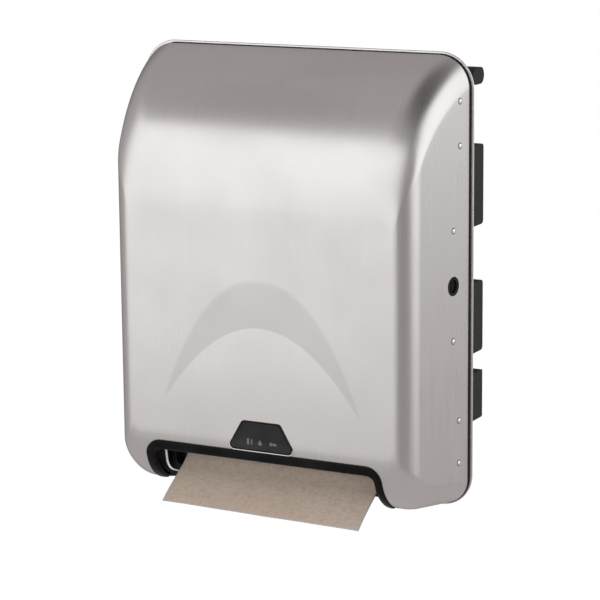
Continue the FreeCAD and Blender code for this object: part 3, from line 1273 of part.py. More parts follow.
def ring_wire(half, low, high, radius, y):
    """Rectangle with round corners, facing the front."""
    edges = []
    corners = [(half - radius, high - radius, 0), (radius - half, high - radius, 90),
               (radius - half, low + radius, 180), (half - radius, low + radius, 270)]
    arcs = []
    for x, z, start in corners:
        turns = [math.radians(start + step) for step in (0, 45, 90)]
        arcs.append([Vector(x + radius * math.cos(a), y, z + radius * math.sin(a)) for a in turns])
    for step, arc in enumerate(arcs):
        edges.append(Part.Arc(*arc).toShape())
        edges.append(Part.LineSegment(arc[2], arcs[(step + 1) % 4][0]).toShape())
    return Part.Wire(edges)


radius = size("chute_radius")
mouth = Part.Face(ring_wire(half_out, chute_low, chute_high, radius, chute_front))
mouth = mouth.extrude(Vector(0, size("chute_length"), 0))
throat = Part.Face(ring_wire(half_in, lip_top, chute_high - wall, radius - wall, chute_front - 1.0))
mouth = mouth.cut(throat.extrude(Vector(0, size("chute_length") + 2.0, 0)))


def guide(points):
    """Plate across the chute, from outline points (y, z)."""
    spots = [Vector(-half_out, y, z) for y, z in points]
    return Part.Face(Part.makePolygon(spots + [spots[0]])).extrude(Vector(2 * half_out, 0, 0))


floor_end = chute_back + 17.0
floor_mid = chute_back + 8.0
floor = guide([(chute_back, chute_low), (chute_back, curl_height(chute_back) - 1.0),
               (floor_mid, curl_height(floor_mid) - 1.2), (floor_end, curl_height(floor_end) - 1.2),
               (floor_end + 1.5, curl_height(floor_end) - 3.0), (floor_mid + 2.0, curl_height(floor_mid) - 5.5)])
roof_low = chute_high - wall
roof = guide([(chute_back, chute_high), (chute_back, roof_low), (chute_back + 10.0, roof_low + 3.5),
              (chute_back + 10.0, roof_low + 5.5)])
tabs = []
for side in (-1, 1):
    start = half_out if side > 0 else -size("frame_half")
    tabs.append(Part.makeBox(size("frame_half") - half_out, size("chute_length") - 4.0, 12.0,
                             Vector(start, chute_front + 4.0, chute_low + radius + 2.0)))
node(made("chute", mouth.fuse([floor, roof] + tabs).removeSplitter()), "outlet_chute")

# Tear bar: a saw-edged strip on the mouth's face
tear_half = half_in - 2.0
tear_high = chute_high - 1.0
tear_low = tear_high - 6.0
teeth = int(2 * tear_half / size("tear_pitch"))
pitch = 2 * tear_half / teeth
saw = [Vector(-tear_half, chute_front, tear_high), Vector(-tear_half, chute_front, tear_low)]
for index in range(teeth):
    x = -tear_half + pitch * index
    saw.append(Vector(x + pitch / 2, chute_front, tear_low - pitch / 2))
    saw.append(Vector(x + pitch, chute_front, tear_low))
saw.append(Vector(tear_half, chute_front, tear_high))
strip = Part.Face(Part.makePolygon(saw + [saw[0]])).extrude(Vector(0, -size("tear_sheet"), 0))
node(made("tear", strip), "tear_bar")

# Check and write

doc.recompute()
faults = []
for thing in doc.Objects:
    if "Invalid" in thing.State or "Error" in thing.State:
        faults.append("%s %s %s" % (thing.Name, thing.Label, thing.State))
for thing in nodes:
    if thing.Shape.isNull() or not thing.Shape.isValid() or not thing.Shape.Solids:
        faults.append("%s has no sound shape" % thing.Label)
if faults:
    raise RuntimeError("; ".join(faults))
for thing in nodes:
    thing.Shape.exportStep("parts/%s.step" % thing.Label)
print("%d sub-parts" % len(nodes))
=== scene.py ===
import math
import random

import bmesh
import bpy
from mathutils import Matrix, Vector


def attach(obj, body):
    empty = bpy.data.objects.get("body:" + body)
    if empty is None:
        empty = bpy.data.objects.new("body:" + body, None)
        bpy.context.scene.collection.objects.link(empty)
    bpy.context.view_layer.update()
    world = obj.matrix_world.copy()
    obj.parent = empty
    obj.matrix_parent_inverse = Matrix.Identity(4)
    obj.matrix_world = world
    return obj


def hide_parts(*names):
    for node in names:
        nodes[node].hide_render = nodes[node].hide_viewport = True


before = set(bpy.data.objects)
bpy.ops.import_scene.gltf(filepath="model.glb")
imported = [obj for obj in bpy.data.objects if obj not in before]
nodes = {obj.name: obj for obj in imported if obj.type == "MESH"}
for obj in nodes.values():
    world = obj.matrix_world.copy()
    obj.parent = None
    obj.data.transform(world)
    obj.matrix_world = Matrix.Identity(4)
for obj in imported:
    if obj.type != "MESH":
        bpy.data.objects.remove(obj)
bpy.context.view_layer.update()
scene = bpy.context.scene
mm = 0.001
print("frame loaded,", len(nodes), "nodes")


# small helpers for meshes

def turned(degrees):
    # cosine and sine
    return math.cos(math.radians(degrees)), math.sin(math.radians(degrees))


def frontView(points, y):
    # points (x, z) of a view from the front, put at a depth, in metres
    return [(x * mm, y * mm, z * mm) for x, z in points]


def newPiece(name, verts, faces, body=None, smooth=True):
    mesh = bpy.data.meshes.new(name)
    mesh.from_pydata([tuple(v) for v in verts], [], faces)
    mesh.validate()
    mesh.update()
    mesh.polygons.foreach_set("use_smooth", [smooth] * len(mesh.polygons))
    piece = bpy.data.objects.new(name, mesh)
    scene.collection.objects.link(piece)
    if body:
        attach(piece, body)
    return piece


def gridFaces(rows, columns, closeRows=False, closeColumns=False, start=0):
    faces = []
    for r in range(rows if closeRows else rows - 1):
        for c in range(columns if closeColumns else columns - 1):
            here, beyond = start + r * columns, start + (r + 1) % rows * columns
            after = (c + 1) % columns
            faces.append((here + c, here + after, beyond + after, beyond + c))
    return faces


def ringSkin(rings, start=0):
    # rings of equal size joined one after another and closed over the first and the last
    size, last = len(rings[0]), start + (len(rings) - 1) * len(rings[0])
    faces = gridFaces(len(rings), size, False, True, start)
    faces += [tuple(range(start, start + size)), tuple(range(last, last + size))]
    return [spot for ring in rings for spot in ring], faces


def outward(piece):
    work = bmesh.new()
    work.from_mesh(piece.data)
    bmesh.ops.recalc_face_normals(work, faces=work.faces)
    work.to_mesh(piece.data)
    work.free()
    return piece


def finished(piece, finish, sharp=None):
    # a closed mesh with its faces outward, creases kept above an angle, and a finish
    outward(piece)
    if sharp:
        piece.data.set_sharp_from_angle(angle=math.radians(sharp))
    piece.data.materials.append(materials[finish])
    return piece


def prismAlongY(name, outline, front, back, body=None):
    rings = [frontView(outline, front), frontView(outline, back)]
    return outward(newPiece(name, *ringSkin(rings), body, False))


def cutAway(piece, cutters):
    for cutter in cutters:
        cut = piece.modifiers.new("cut", "BOOLEAN")
        cut.object = cutter
        cut.operation = "DIFFERENCE"
        cut.solver = "EXACT"
    whole = piece.data
    made = bpy.data.meshes.new_from_object(piece.evaluated_get(bpy.context.evaluated_depsgraph_get()))
    piece.modifiers.clear()
    piece.data = made
    bpy.data.meshes.remove(whole)
    made.name = piece.name
    for cutter in cutters:
        mesh = cutter.data
        bpy.data.objects.remove(cutter)
        bpy.data.meshes.remove(mesh)


def roundedOutline(points, radii, steps=8):
    # corner arcs on a closed outline of straight edges
    out = []
    count = len(points)
    for i in range(count):
        here = Vector(points[i])
        before = (Vector(points[i - 1]) - here).normalized()
        after = (Vector(points[(i + 1) % count]) - here).normalized()
        radius = radii[i] if isinstance(radii, (list, tuple)) else radii
        half = before.angle(after) / 2
        if radius <= 0 or half > math.radians(89):
            out.append(tuple(here))
            continue
        run = radius / math.tan(half)
        centre = here + (before + after).normalized() * radius / math.sin(half)
        first = here + before * run - centre
        last = here + after * run - centre
        turn = first.angle_signed(last)
        for k in range(steps + 1):
            # angle_signed is clockwise positive in two dimensions
            c, s = math.cos(turn * k / steps), math.sin(turn * k / steps)
            out.append((centre.x + first.x * c + first.y * s, centre.y - first.x * s + first.y * c))
    return out


def weighNormals(piece, weight=50):
    weigh = piece.modifiers.new("weigh", "WEIGHTED_NORMAL")
    weigh.keep_sharp = True
    weigh.weight = weight


def finishEdges(node, width, flat=2.0, crease=35.0):
    # soft edges on a carried-over solid
    piece = nodes[node]
    merge = piece.modifiers.new("flats", "DECIMATE")
    merge.decimate_type = "DISSOLVE"
    merge.angle_limit = math.radians(flat)
    soft = piece.modifiers.new("softEdges", "BEVEL")
    soft.width = width
    soft.segments = 2
    soft.limit_method = "ANGLE"
    soft.angle_limit = math.radians(crease)
    soft.harden_normals = False
    weighNormals(piece)
    piece.data.polygons.foreach_set("use_smooth", [True] * len(piece.data.polygons))


# finishes

class Wires:
    # a node tree under construction, of a material or of the world
    sockets = {"color": "Base Color", "metal": "Metallic", "rough": "Roughness", "normal": "Normal",
               "coat": "Coat Weight", "coatRough": "Coat Roughness", "aniso": "Anisotropic",
               "spec": "Specular IOR Level", "sheen": "Sheen Weight"}

    def __init__(self, owner, coordinates="Object"):
        owner.use_nodes = True
        self.owner, self.tree = owner, owner.node_tree
        self.place = self.add("ShaderNodeTexCoord").outputs[coordinates]

    def add(self, kind, **values):
        node = self.tree.nodes.new(kind)
        for key, value in values.items():
            setattr(node, key, value)
        return node

    def feed(self, socket, value):
        if hasattr(value, "links"):
            self.tree.links.new(value, socket)
        elif socket.type == "RGBA":
            socket.default_value = tuple(value) + (1.0,)
        else:
            socket.default_value = value

    def axes(self, source=None):
        node = self.add("ShaderNodeSeparateXYZ")
        self.feed(node.inputs[0], source or self.place)
        return node.outputs

    def stretch(self, scale):
        node = self.add("ShaderNodeMapping")
        self.feed(node.inputs["Scale"], scale)
        self.feed(node.inputs["Vector"], self.place)
        return node.outputs["Vector"]

    def noise(self, scale, detail=3.0, vector=None, roughness=0.5):
        node = self.add("ShaderNodeTexNoise")
        for key, value in (("Scale", scale), ("Detail", detail), ("Roughness", roughness),
                           ("Vector", vector or self.place)):
            self.feed(node.inputs[key], value)
        return node.outputs["Fac"]

    def math(self, operation, first, *others):
        # several values are taken in one after another
        for other in others or (0.0,):
            node = self.add("ShaderNodeMath", operation=operation)
            self.feed(node.inputs[0], first)
            self.feed(node.inputs[1], other)
            first = node.outputs[0]
        return first

    def plus(self, *values):
        return self.math("ADD", *values)

    def minus(self, *values):
        return self.math("SUBTRACT", *values)

    def times(self, *values):
        return self.math("MULTIPLY", *values)

    def larger(self, *values):
        return self.math("MAXIMUM", *values)

    def size(self, value):
        return self.math("ABSOLUTE", value)

    def span(self, value, low, high, toLow=0.0, toHigh=1.0, kind="LINEAR"):
        node = self.add("ShaderNodeMapRange", clamp=True, interpolation_type=kind)
        for socket, v in zip(node.inputs, (value, low, high, toLow, toHigh)):
            self.feed(socket, v)
        return node.outputs[0]

    def ease(self, value, low, high, toLow=0.0, toHigh=1.0):
        return self.span(value, low, high, toLow, toHigh, "SMOOTHSTEP")

    def mix(self, factor, a, b):
        node = self.add("ShaderNodeMix", data_type="RGBA")
        for socket, value in ((node.inputs[0], factor), (node.inputs[6], a), (node.inputs[7], b)):
            self.feed(socket, value)
        return node.outputs[2]

    def bump(self, height, distance, after=None):
        node = self.add("ShaderNodeBump")
        self.feed(node.inputs["Strength"], 1.0)
        self.feed(node.inputs["Distance"], distance)
        self.feed(node.inputs["Height"], height)
        if after is not None:
            self.feed(node.inputs["Normal"], after)
        return node.outputs["Normal"]

    def glowing(self, kind, color, strength):
        node = self.add(kind)
        self.feed(node.inputs["Color"], color)
        self.feed(node.inputs["Strength"], strength)
        return node.outputs[0]

    def blend(self, factor, a, b):
        node = self.add("ShaderNodeMixShader")
        for socket, value in zip(node.inputs, (factor, a, b)):
            self.feed(socket, value)
        return node.outputs[0]

    def set(self, **values):
        shader = self.tree.nodes["Principled BSDF"]
        for key, value in values.items():
            self.feed(shader.inputs[self.sockets[key]], value)
        return self.owner


def paint(name):
    return Wires(bpy.data.materials.new(name))


def scaled(color, share):
    return tuple(c * share for c in color)


# sizes of the cover, the towel and its roll, which the finishes need too
cover = dict(halfWidth=166.0, halfHeight=205.5, standoff=4.0, depth=94.0, sheet=1.2, sideDraft=10.0,
             bottomDraft=6.1, upper=(30.0, 32.0), lower=(24.0, 28.0), hoodRadius=127.0, hoodEase=50.0,
             chinRadius=46.0, chinEase=30.0, edgeRadius=20.5)
towel = dict(width=203.0, sheet=0.3, driveBack=-37.1, driveHeight=-135.1, driveRadius=14.0, clearance=0.3,
             nipAngle=33.0, offNip=20.0, beforeLip=9.0, afterLip=16.0, lip=(-61.0, -184.9), lipSlope=33.0,
             tip=(-101.0, -211.9), tipSlope=41.0, shorter=2.6, shortRun=30.0, thick=0.22, wave=0.35,
             free=62.0, spread=0.9, spreadRate=3.0, aside=0.6, columns=97, tooth=0.35, toothPitch=4.0,
             ripples=((5.1, 0.6), (11.3, 0.3)))
roll = dict(back=3.0, height=75.0, radius=93.0, half=101.5, bore=20.6, turnedIn=1.2, layers=34, sides=160,
            uneven=(0.15, 0.3), edge=((0.4, 0.5), (1.2, 0.0)))

brushed = dict(color=(0.69, 0.672, 0.66), paler=(0.74, 0.725, 0.712), stain=(0.55, 0.53, 0.5), rough=0.3,
               lines=1500.0, along=10.0, depth=0.000002, aniso=0.5)
# a painted reflection on the cover's front: the darker crescent is painted shade, the lighter field under it
# a painted highlight
crescent = dict(middle=0.001, half=0.103, top=0.0045, drop=0.1205, innerTop=-0.0379, innerDrop=0.0785,
                fade=0.0025, innerFade=0.0005, endFade=0.004, power=2.3, innerPower=2.0, skin=(0.9, 0.5),
                fieldLow=-0.118, fieldHigh=-0.07, color=(0.56, 0.555, 0.55), paintedLight=(0.85, 0.84, 0.83),
                strength=0.32, rougher=0.05)


def brushedSteel(name, look, band=None):
    # straight grain up the piece, on its front and on its sides
    w = paint(name)
    lines, along = look["lines"], look["along"]
    towardX = w.size(w.axes(w.add("ShaderNodeNewGeometry").outputs["Normal"])["X"])
    grain = w.add("ShaderNodeMix")
    w.feed(grain.inputs[0], w.span(towardX, 0.35, 0.8))
    w.feed(grain.inputs[2], w.noise(1.0, 2.0, w.stretch((lines, along, along)), 0.6))
    w.feed(grain.inputs[3], w.noise(1.0, 2.0, w.stretch((along, lines, along)), 0.6))
    grain = grain.outputs[0]
    cloud = w.noise(14.0)
    color = w.mix(w.span(grain, 0.3, 0.7, 0.2, 0.8), look["color"], look["paler"])
    color = w.mix(w.span(cloud, 0.35, 0.7, 0.0, 0.12), color, look["stain"])
    rough = w.plus(w.span(grain, 0.25, 0.75, look["rough"] - 0.035, look["rough"] + 0.04),
                   w.span(cloud, 0.3, 0.7, -0.02, 0.03))
    if band:
        # painted reflection on the outer skin: a darker crescent between two arches, painted shade that is
        # also a little rougher, and a lighter field under the lower one, a painted highlight
        x, y, z = w.axes()
        reach = w.size(w.minus(x, band["middle"]))
        front = w.span(y, *((behind - cover["depth"]) * mm for behind in band["skin"]))

        def under(top, drop, power, soft):
            arch = w.math("POWER", w.math("DIVIDE", reach, band["half"]), power)
            return w.span(w.minus(w.minus(top, w.times(arch, drop)), z), -soft, soft, 0.0, front)

        outer = under(band["top"], band["drop"], band["power"], band["fade"])
        inner = under(band["innerTop"], band["innerDrop"], band["innerPower"], band["innerFade"])
        within = w.span(reach, band["half"] - band["endFade"], band["half"], 1.0, 0.0)
        # mask of the crescent: painted shade in the colour, and a little more roughness
        paintedShadeAndDull = w.times(within, w.larger(w.minus(outer, inner), 0.0))
        # mask of the lighter field: painted highlight
        paintedLight = w.times(within, inner, w.span(z, band["fieldLow"], band["fieldHigh"]))
        color = w.mix(w.times(paintedShadeAndDull, band["strength"]), color, band["color"])
        color = w.mix(w.times(paintedLight, band["strength"]), color, band["paintedLight"])
        rough = w.plus(rough, w.times(paintedShadeAndDull, band["rougher"]))
    return w.set(color=color, metal=1.0, rough=rough, normal=w.bump(grain, look["depth"]),
                 aniso=look["aniso"])


def platedSheet(name, color=(0.5, 0.5, 0.49), rough=0.38):
    w = paint(name)
    flakes = w.add("ShaderNodeTexVoronoi")
    w.feed(flakes.inputs["Scale"], 260.0)
    w.feed(flakes.inputs["Vector"], w.place)
    cloud = w.noise(60.0)
    return w.set(color=w.mix(w.span(cloud, 0.3, 0.7), color, scaled(color, 1.18)), metal=1.0,
                 rough=w.span(cloud, 0.3, 0.7, rough - 0.06, rough + 0.08),
                 normal=w.bump(flakes.outputs["Distance"], 0.00002))


def mouldedPlastic(name, color, rough, grain=1400.0, depth=0.00001, coat=0.0, spec=0.5):
    w = paint(name)
    texture, dust = w.noise(grain, 2.0), w.noise(35.0, 4.0)
    dusty = tuple(min(1.0, c * 1.25 + 0.004) for c in color)
    return w.set(color=w.mix(w.span(dust, 0.4, 0.75), color, dusty),
                 rough=w.span(dust, 0.3, 0.7, rough - 0.04, rough + 0.05),
                 normal=w.bump(texture, depth), coat=coat, coatRough=0.15, spec=spec)


# the greyer line on the towel's cut edges is a painted highlight
paper = dict(kraft=(0.45, 0.365, 0.3), shade=(0.375, 0.3, 0.245), edgeLightWidth=1.9, edgeLightColor=(0.33, 0.33, 0.34),
             ringPitch=5200.0, endFrom=1.0, endTo=0.3)


def paperStock(name, color=paper["kraft"], shade=paper["shade"], kind=None):
    # unbleached paper: fibres, flecks and a soft mottling
    w = paint(name)
    fibres = w.noise(1.0, 4.0, w.stretch((700.0, 700.0, 260.0)), 0.65)
    flecks, cloud = w.noise(420.0, 2.0), w.noise(18.0)
    mottle = w.noise(210.0, 3.0, w.stretch((1.0, 1.6, 1.0)), 0.6)
    tint = w.mix(w.span(fibres, 0.3, 0.7), shade, color)
    tint = w.mix(w.span(cloud, 0.35, 0.7, 0.0, 0.3), tint, scaled(color, 1.12))
    tint = w.mix(w.span(flecks, 0.68, 0.76, 0.0, 0.5), tint, scaled(shade, 0.55))
    tint = w.mix(w.span(mottle, 0.45, 0.68, 0.0, 0.5), tint, scaled(shade, 0.78))
    bump = w.bump(fibres, 0.00012)
    x, y, z = w.axes()
    if kind == "cut":
        # a greyer line painted along the cut sides and the torn end, a painted highlight of the light on the
        # paper's edge
        half, line = (towel["width"] / 2 + towel["spread"]) * mm, paper["edgeLightWidth"] * mm
        c, s = turned(towel["tipSlope"])
        sides = w.span(w.size(x), half - line, half - line * 0.4)
        run = w.plus(w.times(y, -c), w.times(z, -s))
        short = w.times(w.minus(half, x), towel["shorter"] * mm / (2 * half))
        last = -(towel["tip"][0] * c + towel["tip"][1] * s) * mm
        end = w.span(w.plus(run, short), last - line * 1.3, last - line * 0.5)
        tint = w.mix(w.times(w.larger(sides, end), 0.8), tint, paper["edgeLightColor"])
    if kind == "roll":
        # wound layers show as rings on the ends
        dy, dz = w.minus(y, roll["back"] * mm), w.minus(z, roll["height"] * mm)
        reach = w.math("SQRT", w.plus(w.times(dy, dy), w.times(dz, dz)))
        rings = w.math("SINE", w.times(reach, paper["ringPitch"]))
        ends = ((roll["half"] - paper[key]) * mm for key in ("endFrom", "endTo"))
        rings = w.times(rings, w.span(w.size(x), *ends))
        tint = w.mix(w.span(rings, -1.0, 1.0, 0.0, 0.35), tint, scaled(shade, 0.6))
        bump = w.bump(rings, 0.0001, bump)
    return w.set(color=tint, rough=0.86, normal=bump, spec=0.3, sheen=0.15)


paleSteel = (0.86, 0.86, 0.85)
materials = {
    "coverSteel": brushedSteel("coverSteel", brushed, crescent),
    "flangeSteel": brushedSteel("flangeSteel", dict(brushed, rough=0.26)),
    "platedSheet": platedSheet("platedSheet"),
    "springSteel": platedSheet("springSteel", (0.42, 0.42, 0.43), 0.3),
    "brightEdge": platedSheet("brightEdge", paleSteel, 0.3),
    "brassPlain": platedSheet("brassPlain", (0.62, 0.45, 0.2), 0.3),
    "towelPaper": paperStock("towelPaper", kind="cut"),
    "rollPaper": paperStock("rollPaper", kind="roll"),
    "coreCard": paperStock("coreCard", (0.34, 0.25, 0.16), (0.28, 0.2, 0.13)),
}
plastics = dict(
    paleEdge=dict(color=paleSteel, rough=0.3, grain=900.0, depth=0.000004, coat=0.3),
    # black of the painted shadows: the strip under the cover's edge and the rings round the rivet heads
    paintedShadowBlack=dict(color=(0.012, 0.012, 0.012), rough=0.7, grain=900.0, depth=0.00004, spec=0.15),
    lockBlack=dict(color=(0.006, 0.006, 0.0065), rough=0.45, spec=0.15),
    housingBlack=dict(color=(0.011, 0.011, 0.012), rough=0.55, spec=0.22),
    trimBlack=dict(color=(0.0035, 0.0035, 0.0037), rough=0.3, grain=2200.0, depth=0.000005, spec=0.09),
    chuteBlack=dict(color=(0.006, 0.006, 0.0065), rough=0.42, spec=0.2),
    panelGrey=dict(color=(0.1, 0.102, 0.108), rough=0.5),
    armGrey=dict(color=(0.33, 0.335, 0.345), rough=0.48),
    buttonBlue=dict(color=(0.05, 0.16, 0.34), rough=0.3, grain=900.0, coat=0.4),
    rollerRubber=dict(color=(0.025, 0.025, 0.026), rough=0.75, grain=900.0, depth=0.00006),
    gearNylon=dict(color=(0.78, 0.77, 0.72), rough=0.42, grain=800.0),
    boardGreen=dict(color=(0.015, 0.11, 0.045), rough=0.3, grain=500.0, depth=0.00002, coat=0.5),
    chipBlack=dict(color=(0.02, 0.02, 0.02), rough=0.45),
    cellSleeve=dict(color=(0.08, 0.085, 0.1), rough=0.28, grain=600.0, coat=0.5),
    windowBlack=dict(color=(0.011, 0.011, 0.0115), rough=0.16, grain=60.0, depth=0.000002, spec=0.3),
    markGrey=dict(color=(0.085, 0.085, 0.085), rough=0.5, grain=900.0),
)
materials.update((name, mouldedPlastic(name, **look)) for name, look in plastics.items())
print("materials made:", len(materials))

# the carried-over solids by finish, and by the width of their soft edges in mm
nodeFinish = {
    "flangeSteel": "wall_flange cover_rivets",
    "coverSteel": "cover_shell",
    "platedSheet": "frame_straps strap_screws hinge_bracket_upper hinge_bracket_lower strike_bracket "
                   "side_frame_left side_frame_right drive_motor arm_bracket_left arm_bracket_right "
                   "hinge_leaves_upper hinge_leaves_lower lock_bracket side_stiffener edge_clips",
    "springSteel": "strike_pin idler_pin tear_bar arm_pins hinge_pins lock_cam",
    "brassPlain": "battery_contacts shaft_bushes motor_pinion",
    "housingBlack": "rear_housing housing_lugs_left housing_lugs_right frame_spacers battery_box "
                    "sensor_housing",
    "trimBlack": "slot_trim drive_shaft pinch_shaft",
    "chuteBlack": "outlet_chute",
    "lockBlack": "lock_body lock_plug",
    "panelGrey": "mechanism_cover gear_cover",
    "armGrey": "roll_arm_left roll_arm_right battery_cover",
    "buttonBlue": "feed_button length_switch",
    "rollerRubber": "drive_sleeves pinch_sleeves",
    "gearNylon": "drive_gear idler_gear",
    "boardGreen": "control_board sensor_board",
    "chipBlack": "board_components",
    "cellSleeve": "battery_cells",
    "windowBlack": "sensor_window",
    "markGrey": "indicator_icons",
    "towelPaper": "paper_towel",
    "rollPaper": "paper_roll",
    "coreCard": "roll_core",
}
softEdges = {
    0.1: "control_board tear_bar sensor_board motor_pinion",
    0.12: "drive_gear idler_gear",
    0.2: "frame_straps lock_bracket side_stiffener edge_clips lock_cam shaft_bushes hinge_leaves_upper "
         "hinge_leaves_lower hinge_pins",
    0.25: "lock_plug length_switch",
    0.3: "strike_bracket strike_pin side_frame_left side_frame_right battery_box board_components gear_cover "
         "arm_bracket_left arm_bracket_right arm_pins sensor_housing lock_body battery_cover idler_pin "
         "drive_shaft pinch_shaft",
    0.35: "hinge_bracket_upper hinge_bracket_lower",
    0.4: "strap_screws frame_spacers mechanism_cover drive_sleeves pinch_sleeves",
    0.5: "feed_button",
    0.6: "rear_housing battery_cells drive_motor outlet_chute",
    0.8: "roll_arm_left roll_arm_right",
    0.9: "housing_lugs_left housing_lugs_right",
}
for finish, names in nodeFinish.items():
    for name in names.split():
        slots = nodes[name].data.materials
        slots.clear()
        slots.append(materials[finish])
for width, names in softEdges.items():
    for name in names.split():
        finishEdges(name, width * mm)
print("carried-over solids finished")

# cover shell

slot = dict(half=118.0, top=-156.8, radius=12.0, inner=4.5, barInner=6.0, lip=3.5, barLip=3.6, proud=1.7,
            footProud=1.1, web=4.2, flare=(2.3, 0.6), flareTop=-160.0, flareFoot=-194.0, behind=3.2,
            legEnd=65.0, footHeight=-202.2, rear=((-73.5, -158.0), (-68.4, -187.3), (-46.9, -195.8),
            (-36.0, -202.2)),
            rearRadius=18.0, rearStep=1.5, edgeBar=1.1, tuck=0.05, root=0.35, edgeRound=(1.1, 0.9),
            crown=(1.2, 0.1), easing=(3.4, 2.6))
window = dict(middle=1.3, low=-152.3, high=-124.4, topHalf=19.4, bottomHalf=32.6, radius=4.5, rim=1.5,
              proud=1.0, edge=0.45, bezel=1.5, sink=0.3, bend=(0.5, 6.0, 4.0), leastRadius=0.6,
              stem=1.2, seam=0.02,
              bezelSoft=(0.25, 0.12, 0.15), line=(0.3, 1.4, 0.05), bar=0.62, barGrow=0.45, barBehind=0.25,
              barRise=5.2)
lock = dict(height=2.5, setback=27.5, hole=8.8, reach=10.0, sides=48)
cuts = dict(foot=-260.0, slot=(-130.0, 10.0), window=(-110.0, -80.0))


def sideHalf(depth, inset=0.0):
    # drafted side, rolling into the front
    radius, lean = cover["edgeRadius"], math.radians(cover["sideDraft"])
    centre = cover["depth"] - radius
    if depth <= centre + (radius - inset) * math.sin(lean):
        return cover["halfWidth"] - (depth - cover["standoff"]) * math.tan(lean) - inset / math.cos(lean)
    edge = cover["halfWidth"] - (centre - cover["standoff"]) * math.tan(lean) - radius / math.cos(lean)
    return edge + math.sqrt(max((radius - inset) ** 2 - (depth - centre) ** 2, 0.0))


def easedRun(behind, radius, ease):
    # a flat face easing into an arc: how far along it, from the arc's tangent point, at a distance behind it
    if behind < ease ** 2 / (6 * radius):
        return -ease / 2 + (6 * radius * ease * max(behind, 0.0)) ** (1 / 3)
    left = radius - behind + ease ** 2 / (24 * radius)
    return math.sqrt(max(radius ** 2 - left ** 2, 0.0))


def hoodAt(depth, inset=0.0):
    radius, ease = cover["hoodRadius"], cover["hoodEase"]
    centre = cover["halfHeight"] - easedRun(cover["depth"] - cover["standoff"], radius, ease)
    return centre + easedRun(cover["depth"] - inset - depth, radius - inset, ease)


def chinCentre():
    # depth and drop of the chin's centre of curvature
    lean, radius = math.radians(cover["bottomDraft"]), cover["chinRadius"]
    depth = cover["depth"] - cover["chinEase"] ** 2 / (24 * radius) - radius
    drop = cover["halfHeight"] - (depth - cover["standoff"]) * math.tan(lean) - radius / math.cos(lean)
    return depth, drop


def bottomAt(depth, inset=0.0):
    lean, radius = math.radians(cover["bottomDraft"]), cover["chinRadius"] - inset
    centre, drop = chinCentre()
    if depth <= centre + radius * math.sin(lean):
        return -(cover["halfHeight"] - (depth - cover["standoff"]) * math.tan(lean) - inset / math.cos(lean))
    return -drop - easedRun(cover["depth"] - inset - depth, radius, cover["chinEase"])


def cornerAt(depth, inset, radii):
    back, front = radii
    share = (depth - cover["standoff"]) / (cover["depth"] - cover["standoff"])
    radius = back + (front - back) * share - inset
    edge = cover["edgeRadius"] - inset
    centre = cover["depth"] - cover["edgeRadius"]
    if depth > centre:
        radius += math.sqrt(max(edge ** 2 - (depth - centre) ** 2, 0.0)) - edge
    return radius


def roundedRing(half, high, low, upper, lower, wide=24, tall=40, turn=20):
    # one closed ring seen from the front, from the upper right corner over the top
    corners = ((half - upper, high - upper, 0, upper), (upper - half, high - upper, 90, upper),
               (lower - half, low + lower, 180, lower), (half - lower, low + lower, 270, lower))
    arcs = []
    for x, z, start, radius in corners:
        arc = [turned(start + 90 * k / turn) for k in range(turn + 1)]
        arcs.append([(x + radius * c, z + radius * s) for c, s in arc])
    ring = []
    for i, arc in enumerate(arcs):
        (x0, z0), (x1, z1) = arc[-1], arcs[(i + 1) % 4][0]
        steps = tall if i % 2 else wide
        ring += arc + [(x0 + (x1 - x0) * (k / steps), z0 + (z1 - z0) * (k / steps)) for k in range(1, steps)]
    return ring


def sliceRing(depth, inset):
    ring = roundedRing(sideHalf(depth, inset), hoodAt(depth, inset), bottomAt(depth, inset),
                       cornerAt(depth, inset, cover["upper"]), cornerAt(depth, inset, cover["lower"]))
    return frontView(ring, -depth)


def coverDepths(inset, step, turn):
    rolled, start = cover["depth"] - cover["edgeRadius"], cover["standoff"]
    count = int((rolled - start) / step)
    depths = [start + (rolled - start) * k / count for k in range(count)]
    edge = cover["edgeRadius"] - inset
    depths += [rolled + edge * turned(90.0 * k / turn)[1] for k in range(turn)]
    # the eased arcs leave the front very gently
    return depths + [rolled + edge - behind for behind in (0.035, 0.012, 0.002, 0.0)]


def makeCover():
    verts, faces, rims = [], [], []
    for inset, step, turn in ((0.0, 1.4, 18), (cover["sheet"], 4.0, 10)):
        rings = [sliceRing(depth, inset) for depth in coverDepths(inset, step, turn)]
        start, size = len(verts), len(rings[0])
        verts += [spot for ring in rings for spot in ring]
        faces += gridFaces(len(rings), size, False, True, start)
        faces.append(tuple(range(len(verts) - size, len(verts))))
        rims.append(range(start, start + size))
    outer, inner = rims
    faces += [(outer[k - 1], inner[k - 1], inner[k], outer[k]) for k in range(len(outer))]
    return outward(newPiece("coverShell", verts, faces))


def slotOutline(grow=0.0, topGrow=0.0):
    # seen from the front, from the left foot over the top to the right foot
    radius = slot["radius"]
    across, rise = slot["half"] - radius, slot["top"] - radius
    points = []
    for side, turns in ((-1, range(0, 91, 9)), (1, range(90, -1, -9))):
        for c, s in map(turned, turns):
            reach = radius + grow + (topGrow - grow) * s * s
            points.append((side * (across + reach * c), rise + reach * s))
    return points


def windowOutline(inset=0.0):
    half, top = window["bottomHalf"] - inset, window["topHalf"] - inset
    low, high = window["low"] + inset, window["high"] - inset
    aside, rise, soft = window["bend"]
    corners = [(-half, low), (half, low), (half - aside, low + rise), (top, high), (-top, high),
               (aside - half, low + rise)]
    radius = max(window["radius"] - inset, window["leastRadius"])
    line = roundedOutline(corners, [radius, radius, soft, radius, radius, soft], 6)
    return [(x + window["middle"], z) for x, z in line]


